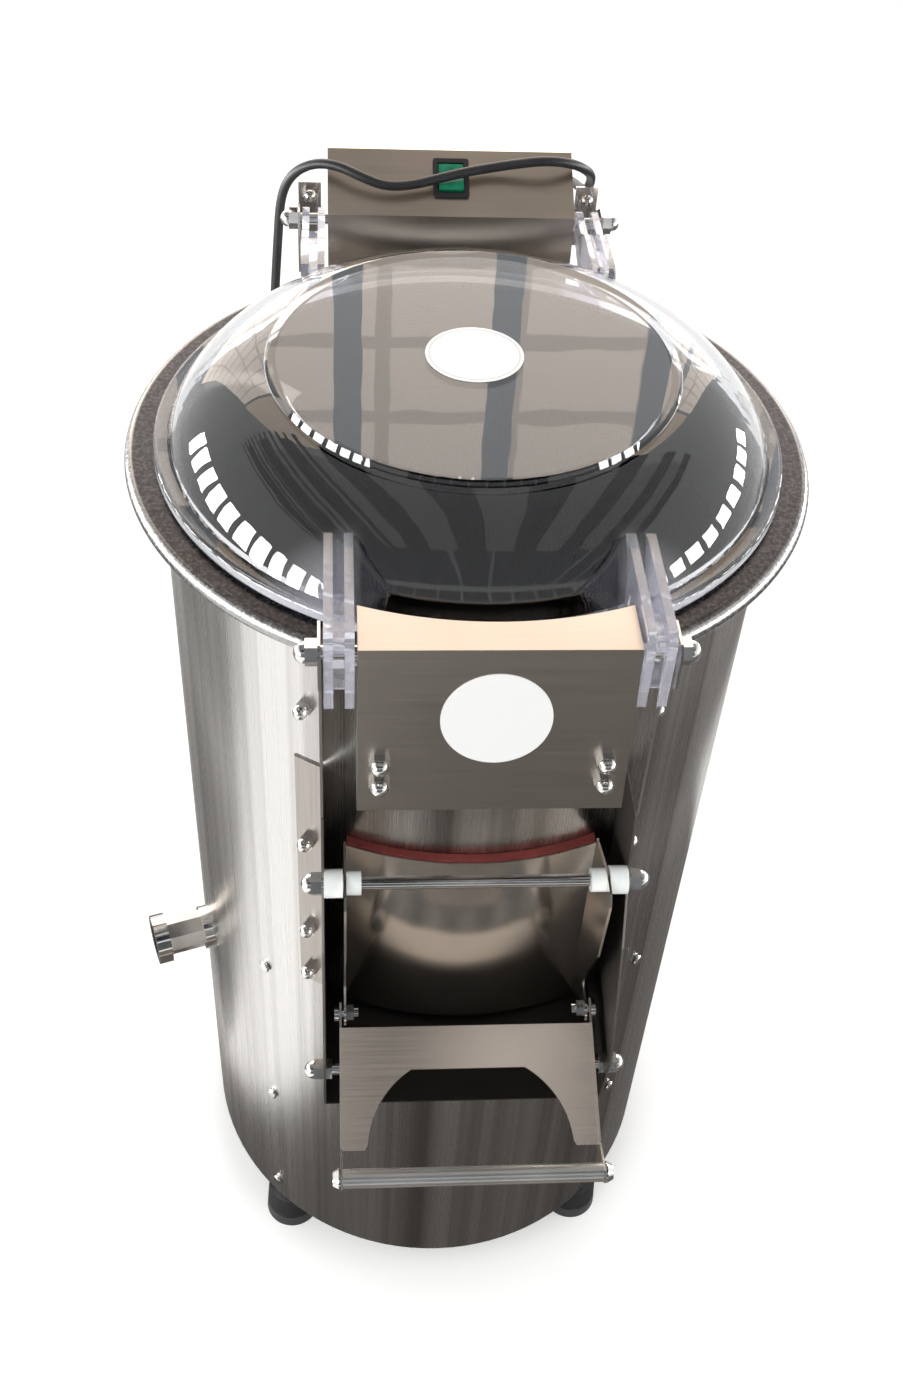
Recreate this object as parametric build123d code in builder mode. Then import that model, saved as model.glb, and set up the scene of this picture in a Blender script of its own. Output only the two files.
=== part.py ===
"""Electric potato peeler: an upright stainless drum machine with a clear hinged lid, a front discharge
chute and door, a rear control box and a belt-driven abrasive disc.

Millimetres, +Z up. The origin is on the drum axis at floor level, -Y is the discharge side and
+Y the side of the control box and of the lid hinge.
"""

import os
from math import atan2, cos, degrees, pi, radians, sin, sqrt, tan

from build123d import *

# ---------------------------------------------------------------- driving dimensions
# shell and rim
sheet = 1.5
foot_height = 40.0
shell_top = 740.0
body_radius = 193.5
rim_height = 754.0
rim_radius = 215.0
bead_radius = 6.0
drum_radius = 180.0
lining_thickness = 2.5
lining_low = 418.0
lining_height = 250.0
floor_level = 398.0
floor_sheet = 3.0

# lid
lid_radius = 197.0
lid_wall = 5.0
lid_gap = 0.3
plateau_radius = 125.0
plateau_height = 814.0
fin_thickness = 5.0
fin_pitch = 11.0
pin_height = 779.0
pin_radius = 4.0
running_gap = 0.08
latch_pin_y = -225.0
hinge_pin_y = 231.0
front_fin_x = 75.0
rear_fin_x = 91.0
knuckle_radius = 8.0

# front bracket
bracket_half_width = 73.5
bracket_top = 789.0
bracket_front_y = -234.5
bracket_foot_y = -247.0
bracket_foot_z = 680.0
bracket_hollow_radius = 213.0

# discharge chute and door
cheek_x = 92.5
chute_top = 632.0
lip_y = -257.0
lip_z = 392.0
sill_z = 404.0
opening_half_width = 72.0
opening_low = 414.0
opening_high = 566.0
door_half_width = 80.5
door_low = 409.0
door_high = 575.0
door_radius = 201.0
rod_y = -221.0
rod_z = 583.0
rod_radius = 4.0

# handle
pivot_y = -226.0
pivot_z = 452.0
arm_x = 82.0
bar_y = -332.0
bar_z = 428.0
bar_radius = 6.0
arch_top = -28.0
arch_crown = 37.0
arch_waist = 56.5
arch_half_width = 66.0
catch_y = -252.0
catch_z = 426.0

# control box and switch
box_half_width = 89.0
box_front_y = 222.0
box_back_y = 272.0
box_low = 600.0
fold_z = 787.0
console_top_z = 814.0
switch_half_width = 13.0
switch_half_length = 16.0
switch_along = 31.0

# back tabs of the hinge brackets
tab_front_y = 260.5
tab_inner_x = 94.0
tab_low = 745.0
tab_high = 792.0
tab_screw_x = 102.0
tab_screw_level = 784.0

# drive
shaft_radius = 10.0
disc_radius = 172.0
disc_level = 410.0
disc_thickness = 8.0
pulley_level = 300.0
pulley_height = 20.0
driven_radius = 75.0
motor_pulley_radius = 25.0
motor_y = 112.0
motor_radius = 58.0
plate_level = 284.0

# feet and frame
foot_circle = 178.0
foot_radius = 23.0
leg_angles = (45.0, 135.0, 225.0, 315.0)
leg_screw_levels = (64.0, 206.0, 381.0)

# blank labels
label_radius = 30.0
label_thickness = 0.4
label_level = 744.0

# water fittings
drain_angle = 197.4
drain_level = 325.0
drain_pipe_radius = 13.5
drain_bore = 11.5
drain_collar_radius = 19.3
drain_well = 125.0
inlet_angle = 135.0
inlet_level = 700.0

# power cord
cord_radius = 3.5
lead_radius = 3.0
lead_y = 187.0
coil_centre = (35.0, 350.0)
coil_radius = 38.5
cord_route = [
    (64.0, 312.0, 690.0),
    (64.5, 331.0, 690.5),
    (69.0, 348.5, 698.5),
    (77.0, 360.0, 712.5),
    (86.5, 362.5, 729.5),
    (95.0, 355.5, 746.0),
    (101.0, 340.5, 758.0),
    (103.0, 321.0, 764.5),
    (104.5, 302.0, 770.0),
    (106.5, 284.0, 778.5),
    (107.0, 272.5, 794.0),
    (100.5, 260.5, 805.5),
    (87.5, 252.5, 814.5),
    (68.0, 247.5, 818.5),
    (47.5, 249.0, 815.0),
    (28.0, 250.0, 811.0),
    (8.5, 246.0, 809.0),
    (-10.5, 240.5, 806.5),
    (-29.0, 236.0, 803.5),
    (-48.0, 234.5, 803.0),
    (-65.0, 237.5, 808.5),
    (-82.0, 245.5, 813.0),
    (-99.0, 253.5, 810.5),
    (-114.5, 258.5, 800.0),
    (-123.5, 260.5, 782.0),
    (-126.5, 258.0, 748.0),
    (-131.0, 256.0, 690.0),
    (-136.0, 256.5, 600.0),
    (-139.0, 259.0, 504.0),
    (-140.0, 263.0, 408.0),
    (-139.5, 267.0, 312.0),
    (-136.5, 271.0, 216.0),
    (-129.0, 276.0, 126.0),
    (-108.0, 285.0, 54.0),
    (-68.0, 299.0, 6.0),
    (-20.0, 311.0, 3.5),
    (18.0, 311.5, 3.5),
]
tail_route = [
    (42.0, 388.5, 10.5),
    (6.0, 389.5, 12.0),
    (-22.0, 387.0, 16.5),
    (-46.0, 387.0, 18.0),
]

os.makedirs("parts", exist_ok=True)


# ---------------------------------------------------------------- helpers
def radial_plane(angle, radius, level):
    """A plane at a point around the drum axis, with its normal pointing away from that axis."""
    turn = radians(angle)
    outward = (cos(turn), sin(turn), 0)
    return Plane(
        origin=(radius * cos(turn), radius * sin(turn), level),
        x_dir=(-sin(turn), cos(turn), 0),
        z_dir=outward,
    )


def side_plane(x, y, z):
    """A plane square to X at a point, with its normal pointing away from the middle of the machine."""
    side = 1 if x > 0 else -1
    return Plane(origin=(x, y, z), x_dir=(0, side, 0), z_dir=(side, 0, 0))


def both_sides(x, y, z):
    return [side_plane(x, y, z), side_plane(-x, y, z)]


def add_cap_nuts(planes, across, bore):
    """Domed hexagon nuts that stand on the planes, each with a blind hole for its thread."""
    height = across * 0.5
    with BuildSketch(*planes) as hexagons:
        RegularPolygon(across / 2, 6, major_radius=False)
    extrude(hexagons.sketch, amount=height)
    with Locations(*[plane.offset(height) for plane in planes]):
        Sphere(across * 0.47)
    with Locations(*planes):
        Cylinder(bore, height * 1.4, align=(Align.CENTER, Align.CENTER, Align.MIN), mode=Mode.SUBTRACT)


def add_rods(planes, radius, length):
    """Plain round lengths that start at the planes and run along their normals."""
    with Locations(*planes):
        Cylinder(radius, length, align=(Align.CENTER, Align.CENTER, Align.MIN))


def cut_rods(planes, radius, length):
    """Round holes that start at the planes and run along their normals."""
    with Locations(*planes):
        Cylinder(radius, length, align=(Align.CENTER, Align.CENTER, Align.MIN), mode=Mode.SUBTRACT)


def write(part, name):
    part.part.label = name
    export_step(part.part, f"parts/{name}.step")


# ---------------------------------------------------------------- shared places
# bolts through the flanges of the side plates and of the chute, left and right of the door
flange_angle = degrees(atan2(cheek_x + 9.5, sqrt(body_radius**2 - (cheek_x + 9.5) ** 2)))
flange_levels = (679.0, 558.0, 467.0, 419.0)
flange_bolt_angles = (270.0 - flange_angle, 270.0 + flange_angle)
flange_places = [(angle, level) for angle in flange_bolt_angles for level in flange_levels]
bolt_radius = 3.0
bolt_hole = 3.2

# the lean of the front bracket's panel
panel_lean = atan2(bracket_front_y - bracket_foot_y, bracket_top - bracket_foot_z)
panel_screw_x = 61.5
panel_screw_levels = (700.3, 715.0)


def panel_y(level):
    """Y of the outside of the front panel at a height."""
    return bracket_front_y - (bracket_top - level) * tan(panel_lean)


def panel_plane(x, level, depth):
    """A plane parallel to the front panel, set back from its outside by a depth."""
    normal = (0, -cos(panel_lean), sin(panel_lean))
    point = (x, panel_y(level) - depth * normal[1], level - depth * normal[2])
    return Plane(origin=point, x_dir=(1, 0, 0), z_dir=normal)


panel_places = [(x, level) for x in (-panel_screw_x, panel_screw_x) for level in panel_screw_levels]


def tab_planes(depth):
    """Planes on the back tabs of the hinge brackets, set back from their fronts by a depth."""
    return [
        Plane(origin=(x, tab_front_y + depth, tab_screw_level), x_dir=(1, 0, 0), z_dir=(0, -1, 0))
        for x in (-tab_screw_x, tab_screw_x)
    ]


# the slope of the console that carries the switch
console_slope = atan2(console_top_z - fold_z, box_back_y - 2 - box_front_y)
switch_origin = (
    0,
    box_front_y + switch_along * cos(console_slope),
    fold_z + switch_along * sin(console_slope),
)
switch_plane = Plane(
    origin=switch_origin,
    x_dir=(1, 0, 0),
    z_dir=(0, -sin(console_slope), cos(console_slope)),
)
rocker_side_plane = Plane(
    origin=switch_origin,
    x_dir=(0, cos(console_slope), sin(console_slope)),
    z_dir=(1, 0, 0),
)

leg_screw_places = [(angle, level) for angle in leg_angles for level in leg_screw_levels]


# ---------------------------------------------------------------- body and rim
with BuildPart() as body_shell:
    with BuildSketch(Plane.XY.offset(foot_height)):
        Circle(body_radius)
        Circle(body_radius - sheet, mode=Mode.SUBTRACT)
    extrude(amount=shell_top - foot_height)
    with BuildSketch(Plane.XZ.offset(150)):
        with Locations((0, (opening_low + opening_high) / 2)):
            RectangleRounded(2 * opening_half_width, opening_high - opening_low, 8)
    extrude(amount=60, mode=Mode.SUBTRACT)
    cut_rods([radial_plane(a, 185, z) for a, z in flange_places], bolt_hole, 15)
    cut_rods([radial_plane(a, 185, z) for a, z in leg_screw_places], 2.6, 15)
    cut_rods([radial_plane(drain_angle, 175, drain_level)], drain_pipe_radius, 25)
    cut_rods([radial_plane(inlet_angle, 180, inlet_level)], 8.0, 20)
    with BuildSketch(radial_plane(90, 180, 608)):
        SlotCenterToCenter(58, 12, rotation=90)
    extrude(amount=20, mode=Mode.SUBTRACT)
write(body_shell, "body_shell")

with BuildPart() as top_rim:
    with BuildSketch(Plane.XZ):
        with BuildLine():
            Polyline(
                (drum_radius - 2, rim_height),
                (rim_radius - bead_radius, rim_height),
            )
            RadiusArc(
                (rim_radius - bead_radius, rim_height),
                (rim_radius - bead_radius, rim_height - 2 * bead_radius),
                bead_radius,
            )
            Polyline(
                (rim_radius - bead_radius, rim_height - 2 * bead_radius),
                (rim_radius - bead_radius - 2, rim_height - 2 * bead_radius - 2),
                (rim_radius - bead_radius - 5, rim_height - 2 * bead_radius - 2),
                (body_radius + 6, rim_height - 2 * bead_radius - 4),
                (body_radius + sheet + 1, rim_height - 2 * bead_radius - 7),
                (body_radius + sheet, rim_height - 2 * bead_radius - 16),
                (body_radius, rim_height - 2 * bead_radius - 16),
                (body_radius, rim_height - 2 * bead_radius - 1),
                (rim_radius - bead_radius - 6, rim_height - 2 * bead_radius + 1),
                (rim_radius - bead_radius - 6, rim_height - sheet),
                (drum_radius - 2, rim_height - sheet),
                (drum_radius - 2, rim_height),
            )
        make_face()
    revolve(axis=Axis.Z)
write(top_rim, "top_rim")

# ---------------------------------------------------------------- drum
with BuildPart() as inner_drum:
    with BuildSketch(Plane.XY.offset(floor_level)):
        Circle(drum_radius + sheet)
        Circle(drum_radius, mode=Mode.SUBTRACT)
    extrude(amount=rim_height - sheet - floor_level)
    with BuildSketch(Plane.XZ.offset(140)):
        with Locations((0, (opening_low + opening_high) / 2)):
            RectangleRounded(2 * opening_half_width, opening_high - opening_low, 8)
    extrude(amount=60, mode=Mode.SUBTRACT)
    cut_rods([radial_plane(inlet_angle, 170, inlet_level)], 8.0, 20)
write(inner_drum, "inner_drum")

with BuildPart() as abrasive_lining:
    with BuildSketch(Plane.XY.offset(lining_low)):
        Circle(drum_radius)
        Circle(drum_radius - lining_thickness, mode=Mode.SUBTRACT)
    extrude(amount=lining_height)
    with BuildSketch(Plane.XZ.offset(140)):
        with Locations((0, (opening_low + opening_high) / 2)):
            RectangleRounded(2 * opening_half_width + 6, opening_high - opening_low + 6, 8)
    extrude(amount=60, mode=Mode.SUBTRACT)
write(abrasive_lining, "abrasive_lining")

with BuildPart() as drum_floor:
    with BuildSketch(Plane.XY.offset(floor_level - floor_sheet)):
        Circle(body_radius - sheet)
        Circle(32, mode=Mode.SUBTRACT)
        with PolarLocations(drain_well, 1, start_angle=drain_angle):
            Circle(drain_bore, mode=Mode.SUBTRACT)
        with Locations((0, lead_y)):
            Circle(4.5, mode=Mode.SUBTRACT)
    extrude(amount=floor_sheet)
write(drum_floor, "drum_floor")

# ---------------------------------------------------------------- bearings and spindle
housing_low = 330.0
housing_top = 404.0
bearing_radius = 23.5
bearing_width = 14.0
with BuildPart() as bearing_housing:
    with BuildSketch(Plane.XY.offset(housing_low)):
        Circle(32)
    extrude(amount=housing_top - housing_low)
    with BuildSketch(Plane.XY.offset(floor_level - floor_sheet - 6)):
        Circle(62)
    extrude(amount=6)
    with BuildSketch(Plane.XY.offset(housing_low)):
        Circle(20)
    extrude(amount=housing_top - housing_low, mode=Mode.SUBTRACT)
    for low, high in ((housing_low, housing_low + 18), (housing_top - 26, housing_top)):
        with BuildSketch(Plane.XY.offset(low)):
            Circle(bearing_radius)
        extrude(amount=high - low, mode=Mode.SUBTRACT)
write(bearing_housing, "bearing_housing")

with BuildPart() as bearings:
    for low in (housing_low + 4, housing_top - 26):
        with BuildSketch(Plane.XY.offset(low)):
            Circle(bearing_radius)
            Circle(shaft_radius + running_gap, mode=Mode.SUBTRACT)
        extrude(amount=bearing_width)
        for face_level in (low, low + bearing_width - 1):
            with BuildSketch(Plane.XY.offset(face_level)):
                Circle(19)
                Circle(14, mode=Mode.SUBTRACT)
            extrude(amount=1, mode=Mode.SUBTRACT)
write(bearings, "bearings")

with BuildPart() as shaft_seal:
    with BuildSketch(Plane.XY.offset(housing_top - 8)):
        Circle(bearing_radius)
        Circle(shaft_radius + running_gap, mode=Mode.SUBTRACT)
    extrude(amount=8)
write(shaft_seal, "shaft_seal")

shaft_low = pulley_level - 6
shaft_top = disc_level + disc_thickness + 12
with BuildPart() as main_shaft:
    with BuildSketch(Plane.XY.offset(shaft_low)):
        Circle(shaft_radius)
    extrude(amount=shaft_top - shaft_low)
    chamfer(main_shaft.faces().sort_by(Axis.Z)[0].edges(), 1.5)
    chamfer(main_shaft.faces().sort_by(Axis.Z)[-1].edges(), 1.5)
write(main_shaft, "main_shaft")

with BuildPart() as peeling_disc:
    with BuildSketch(Plane.XY.offset(disc_level)):
        Circle(disc_radius)
    extrude(amount=disc_thickness)
    with BuildSketch(Plane.XY.offset(housing_top + 1)):
        Circle(28)
    extrude(amount=disc_level - housing_top - 1)
    # three rounded ridges that throw the potatoes against the wall
    with PolarLocations(0, 3, start_angle=30):
        with Locations(Location((105, 0, disc_level + disc_thickness - 5), (0, 90, 0))):
            Cylinder(13, 110)
    # wipers under the disc that sweep the peel to the drain
    with PolarLocations(110, 2, start_angle=0):
        with Locations((0, 0, disc_level - 4)):
            Box(100, 6, 8)
    with BuildSketch(Plane.XY.offset(floor_level)):
        Circle(disc_radius + 5)
        Circle(disc_radius, mode=Mode.SUBTRACT)
    extrude(amount=60, mode=Mode.SUBTRACT)
    with BuildSketch(Plane.XY.offset(floor_level - 5)):
        Circle(shaft_radius)
    extrude(amount=60, mode=Mode.SUBTRACT)
write(peeling_disc, "peeling_disc")

with BuildPart() as disc_nut:
    nut_planes = [Plane.XY.offset(disc_level + disc_thickness)]
    with BuildSketch(*nut_planes):
        RegularPolygon(17, 6, major_radius=False)
    extrude(amount=16)
    with Locations((0, 0, disc_level + disc_thickness + 14)):
        Sphere(14)
    cut_rods(nut_planes, shaft_radius, 13)
write(disc_nut, "disc_nut")


def add_grooved_pulley(centre_y, radius):
    """A flat pulley blank with one square-bottomed belt groove, on the belt's level."""
    with BuildSketch(Plane.XY.offset(pulley_level)) as blank:
        with Locations((0, centre_y)):
            Circle(radius)
    extrude(blank.sketch, amount=pulley_height)
    with BuildSketch(Plane.XY.offset(pulley_level + 4.5)) as groove:
        with Locations((0, centre_y)):
            Circle(radius + 1)
            Circle(radius - 11, mode=Mode.SUBTRACT)
    extrude(groove.sketch, amount=11, mode=Mode.SUBTRACT)


with BuildPart() as driven_pulley:
    add_grooved_pulley(0, driven_radius)
    with BuildSketch(Plane.XY.offset(pulley_level + pulley_height)):
        Circle(20)
    extrude(amount=8)
    with BuildSketch(Plane.XY.offset(pulley_level)):
        Circle(shaft_radius)
    extrude(amount=pulley_height + 8, mode=Mode.SUBTRACT)
    with BuildSketch(Plane.XY.offset(pulley_level)):
        with PolarLocations(42, 5):
            Circle(14)
    extrude(amount=pulley_height, mode=Mode.SUBTRACT)
write(driven_pulley, "driven_pulley")

motor_shaft_radius = 7.0
with BuildPart() as motor_pulley:
    add_grooved_pulley(motor_y, motor_pulley_radius)
    with BuildSketch(Plane.XY.offset(pulley_level)):
        with Locations((0, motor_y)):
            Circle(motor_shaft_radius)
    extrude(amount=pulley_height, mode=Mode.SUBTRACT)
write(motor_pulley, "motor_pulley")

with BuildPart() as drive_belt:
    for inset, mode in ((1, Mode.ADD), (9.5, Mode.SUBTRACT)):
        with BuildSketch(Plane.XY.offset(pulley_level + 5)):
            Circle(driven_radius - inset)
            with Locations((0, motor_y)):
                Circle(motor_pulley_radius - inset)
            make_hull()
        extrude(amount=10, mode=mode)
write(drive_belt, "drive_belt")

# ---------------------------------------------------------------- motor
motor_low = 100.0
with BuildPart() as motor_housing:
    with BuildSketch(Plane.XY.offset(motor_low)):
        with Locations((0, motor_y)):
            Circle(motor_radius)
    extrude(amount=plate_level - motor_low)
    fillet(motor_housing.faces().sort_by(Axis.Z)[0].edges(), 8)
    # terminal box on its side
    with BuildSketch(Plane.XY.offset(182)):
        with Locations((0, motor_y + motor_radius - 2)):
            RectangleRounded(44, 42, 3)
    extrude(amount=48)
    with BuildSketch(Plane.XY.offset(motor_low + 14)):
        with Locations((0, motor_y)):
            Circle(motor_radius - 12)
    extrude(amount=plate_level - motor_low - 26, mode=Mode.SUBTRACT)
    cut_rods([Plane.XY.offset(222).move(Location((0, 183, 0)))], lead_radius, 12)
    with BuildSketch(Plane.XY.offset(motor_low + 4)):
        with Locations((0, motor_y)):
            Circle(motor_shaft_radius + running_gap)
    extrude(amount=plate_level - motor_low, mode=Mode.SUBTRACT)
write(motor_housing, "motor_housing")

with BuildPart() as motor_rotor:
    with BuildSketch(Plane.XY.offset(motor_low + 5)):
        with Locations((0, motor_y)):
            Circle(motor_shaft_radius)
    extrude(amount=pulley_level + pulley_height + 3 - motor_low - 5)
    with BuildSketch(Plane.XY.offset(motor_low + 24)):
        with Locations((0, motor_y)):
            Circle(motor_radius - 13)
    extrude(amount=130)
write(motor_rotor, "motor_rotor")

# ---------------------------------------------------------------- frame, legs and feet
leg_width = 40.0
leg_depth = 26.0
leg_back = 190.0
leg_sheet = 3.0
with BuildPart() as motor_plate:
    with BuildSketch(Plane.XY.offset(plate_level)):
        Circle(158)
        with PolarLocations(0, 4, start_angle=45):
            with Locations((163.5, 0)):
                Rectangle(47, leg_width - 2 * leg_sheet)
        with Locations((0, motor_y)):
            Circle(18, mode=Mode.SUBTRACT)
        with Locations((-105, -60), (105, -60), (0, -110)):
            Circle(26, mode=Mode.SUBTRACT)
    extrude(amount=4)
write(motor_plate, "motor_plate")

with BuildPart() as base_ring:
    with BuildSketch(Plane.XY.offset(foot_height)):
        Circle(body_radius - sheet)
        Circle(112, mode=Mode.SUBTRACT)
        with PolarLocations(foot_circle, 4, start_angle=45):
            Circle(4.2, mode=Mode.SUBTRACT)
    extrude(amount=3)
write(base_ring, "base_ring")

with BuildPart() as frame_legs:
    with BuildSketch(Plane.XY.offset(foot_height + 3)):
        with PolarLocations(0, 4, start_angle=45):
            with Locations((leg_back - leg_depth / 2, 0)):
                Rectangle(leg_depth, leg_width)
            with Locations((leg_back - leg_depth / 2 - leg_sheet, 0)):
                Rectangle(leg_depth, leg_width - 2 * leg_sheet, mode=Mode.SUBTRACT)
    extrude(amount=floor_level - floor_sheet - foot_height - 3)
    cut_rods([radial_plane(a, 180, z) for a, z in leg_screw_places], 2.6, 15)
write(frame_legs, "frame_legs")

with BuildPart() as leg_screws:
    planes = [radial_plane(a, body_radius + 0.2, z) for a, z in leg_screw_places]
    with BuildSketch(*planes):
        Circle(4.5)
    extrude(amount=2.6)
    fillet(leg_screws.edges().filter_by(GeomType.CIRCLE).group_by(SortBy.LENGTH)[-1], 1.2)
    add_rods([radial_plane(a, 181, z) for a, z in leg_screw_places], 2.4, body_radius + 0.4 - 181)
write(leg_screws, "leg_screws")

recess_radius = 9.0
recess_depth = 14.0
with BuildPart() as rubber_feet:
    with BuildSketch(Plane.XY):
        with PolarLocations(foot_circle, 4, start_angle=45):
            Circle(foot_radius)
    extrude(amount=foot_height - 2, taper=4)
    with BuildSketch(Plane.XY):
        with PolarLocations(foot_circle, 4, start_angle=45):
            Circle(recess_radius)
    extrude(amount=recess_depth, mode=Mode.SUBTRACT)
    with BuildSketch(Plane.XY.offset(recess_depth)):
        with PolarLocations(foot_circle, 4, start_angle=45):
            Circle(7.6)
    extrude(amount=14, mode=Mode.SUBTRACT)
    with BuildSketch(Plane.XY.offset(recess_depth + 14)):
        with PolarLocations(foot_circle, 4, start_angle=45):
            Circle(4.2)
    extrude(amount=14, mode=Mode.SUBTRACT)
write(rubber_feet, "rubber_feet")

with BuildPart() as foot_screws:
    foot_planes = [Plane(origin=p.origin) for p in [radial_plane(a, foot_circle, 0) for a in leg_angles]]
    with BuildSketch(*[p.offset(recess_depth + 8) for p in foot_planes]):
        RegularPolygon(6.5, 6, major_radius=False)
    extrude(amount=6)
    add_rods([p.offset(recess_depth + 13) for p in foot_planes], 4.0, 34)
    for washer_level, washer_height in ((foot_height - 2, 2.0), (foot_height + 3, 1.6)):
        with BuildSketch(*[p.offset(washer_level) for p in foot_planes]):
            Circle(15 if washer_level < foot_height else 8)
            Circle(4.3, mode=Mode.SUBTRACT)
        extrude(amount=washer_height)
    with BuildSketch(*[p.offset(foot_height + 4.6) for p in foot_planes]):
        RegularPolygon(6.5, 6, major_radius=False)
        Circle(4.0, mode=Mode.SUBTRACT)
    extrude(amount=6)
write(foot_screws, "foot_screws")

# ---------------------------------------------------------------- water fittings
drain_plane = radial_plane(drain_angle, 0, 0)
drain_side = Plane(origin=(0, 0, 0), x_dir=drain_plane.z_dir, z_dir=drain_plane.z_dir.cross(Vector(0, 0, 1)))
with BuildPart() as drain_pipe:
    with BuildLine(drain_side):
        FilletPolyline(
            (drain_well, floor_level - floor_sheet),
            (drain_well, drain_level),
            (body_radius, drain_level),
            radius=34,
        )
    with BuildSketch(Plane(origin=drain_side.from_local_coords((drain_well, floor_level - floor_sheet, 0)))):
        Circle(drain_pipe_radius)
        Circle(drain_bore, mode=Mode.SUBTRACT)
    sweep()
write(drain_pipe, "drain_pipe")

with BuildPart() as drain_outlet:
    # collar against the body, eight-sided grip, larger end collar
    with BuildSketch(radial_plane(drain_angle, body_radius - 1, drain_level)):
        Circle(17)
    extrude(amount=8)
    with BuildSketch(radial_plane(drain_angle, body_radius + 7, drain_level)):
        RegularPolygon(14.6, 8)
    extrude(amount=27)
    with BuildSketch(radial_plane(drain_angle, body_radius + 34, drain_level)):
        Circle(drain_collar_radius)
    extrude(amount=10.5)
    cut_rods([radial_plane(drain_angle, body_radius - 5, drain_level)], drain_bore, 60)
    with BuildSketch(Plane.XY.offset(drain_level - 30)):
        Circle(body_radius)
    extrude(amount=60, mode=Mode.SUBTRACT)
    cut_rods([radial_plane(drain_angle, body_radius - 5, drain_level)], drain_pipe_radius, 5.05)
write(drain_outlet, "drain_outlet")

with BuildPart() as water_inlet:
    with BuildSketch(radial_plane(inlet_angle, drum_radius - 6, inlet_level)):
        Circle(8)
    extrude(amount=60)
    with BuildSketch(radial_plane(inlet_angle, body_radius + 0.2, inlet_level)):
        RegularPolygon(11, 6, major_radius=False)
    extrude(amount=7)
    cut_rods([radial_plane(inlet_angle, drum_radius - 8, inlet_level)], 5.0, 70)
write(water_inlet, "water_inlet")

with BuildPart() as spray_nozzle:
    with BuildSketch(radial_plane(inlet_angle, drum_radius - 26, inlet_level)):
        Circle(8)
    extrude(amount=20)
    with BuildSketch(radial_plane(inlet_angle, drum_radius - 26, inlet_level)):
        with Locations((0, -3)):
            Rectangle(3, 9)
    extrude(amount=5, mode=Mode.SUBTRACT)
    cut_rods([radial_plane(inlet_angle, drum_radius - 21, inlet_level)], 5.0, 20)
write(spray_nozzle, "spray_nozzle")

# ---------------------------------------------------------------- discharge chute
strip_outer = body_radius + sheet
strip_outer_angle = flange_angle + 2.6


def add_body_flanges(low, high):
    """Curved strips that lie on the body just outside both cheeks."""
    inner_x = cheek_x
    outer_x = strip_outer * sin(radians(strip_outer_angle))
    with BuildSketch(Plane.XY.offset(low)) as strips:
        Circle(strip_outer)
        Circle(body_radius, mode=Mode.SUBTRACT)
        with Locations((-(inner_x + outer_x) / 2, -strip_outer), ((inner_x + outer_x) / 2, -strip_outer)):
            Rectangle(outer_x - inner_x, 1.2 * strip_outer, mode=Mode.INTERSECT)
    extrude(strips.sketch, amount=high - low)


def cut_body():
    """Takes away whatever reaches inside the outside of the body."""
    with BuildSketch(Plane.XY.offset(foot_height)) as body_disc:
        Circle(body_radius)
    extrude(body_disc.sketch, amount=rim_height - 14 - foot_height, mode=Mode.SUBTRACT)


cheek_outline = [
    (-160, chute_top),
    (-212, chute_top),
    (-219, 590),
    (-240, 538),
    (-258, 478),
    (-265, 452),
    (-262, 419),
    (lip_y, lip_z - sheet),
    (-160, sill_z + 5),
]
floor_outline = [
    (lip_y, lip_z),
    (lip_y, lip_z - sheet),
    (-160, sill_z + 5 - sheet),
    (-160, sill_z + 5),
]
with BuildPart() as discharge_chute:
    for side in (cheek_x, -cheek_x - sheet):
        with BuildSketch(Plane.YZ.offset(side)):
            Polygon(*cheek_outline, align=None)
        extrude(amount=sheet)
    with BuildSketch(Plane.YZ.offset(-cheek_x)):
        Polygon(*floor_outline, align=None)
    extrude(amount=2 * cheek_x)
    cut_body()
    add_body_flanges(sill_z, chute_top)
    for y, z, radius in ((rod_y, rod_z, rod_radius + 0.2), (catch_y, catch_z, pin_radius + 0.2)):
        cut_rods(both_sides(cheek_x - 5, y, z), radius, 10)
    cut_rods([radial_plane(a, 185, z) for a, z in flange_places if z < chute_top], bolt_hole, 15)
write(discharge_chute, "discharge_chute")

# ---------------------------------------------------------------- side plates of the lid latch
plate_outline = [
    (-160, chute_top + 4),
    (-214, chute_top + 4),
    (-214, 742),
    (-238, 764),
    (-238, 786),
    (-233, 791),
    (-214, 791),
    (-200, 766),
    (-200, 732),
    (-187, 724),
    (-160, 724),
]
with BuildPart() as side_plates:
    for side in (cheek_x, -cheek_x - sheet):
        with BuildSketch(Plane.YZ.offset(side)):
            Polygon(*plate_outline, align=None)
        extrude(amount=sheet)
    cut_body()
    add_body_flanges(chute_top + 4, 724)
    cut_rods(both_sides(cheek_x - 5, latch_pin_y, pin_height), pin_radius + 0.2, 10)
    cut_rods([radial_plane(a, 185, z) for a, z in flange_places if z > chute_top], bolt_hole, 15)
write(side_plates, "side_plates")

with BuildPart() as frame_bolts:
    head_planes = [radial_plane(a, 188, z) for a, z in flange_places]
    with BuildSketch(*head_planes):
        Circle(5.0)
    extrude(amount=2.5)
    add_rods(head_planes, bolt_radius, strip_outer + 5.2 - 188)
    panel_heads = [panel_plane(x, z, sheet + 3 + 2.7) for x, z in panel_places]
    with BuildSketch(*panel_heads):
        Circle(5.0)
    extrude(amount=2.5)
    add_rods(panel_heads, bolt_radius, 7 + 5.2)
    tab_heads = tab_planes(sheet + 2.7)
    with BuildSketch(*tab_heads):
        Circle(5.0)
    extrude(amount=2.5)
    add_rods(tab_heads, bolt_radius, sheet + 2.7 + 5)
write(frame_bolts, "frame_bolts")

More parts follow.
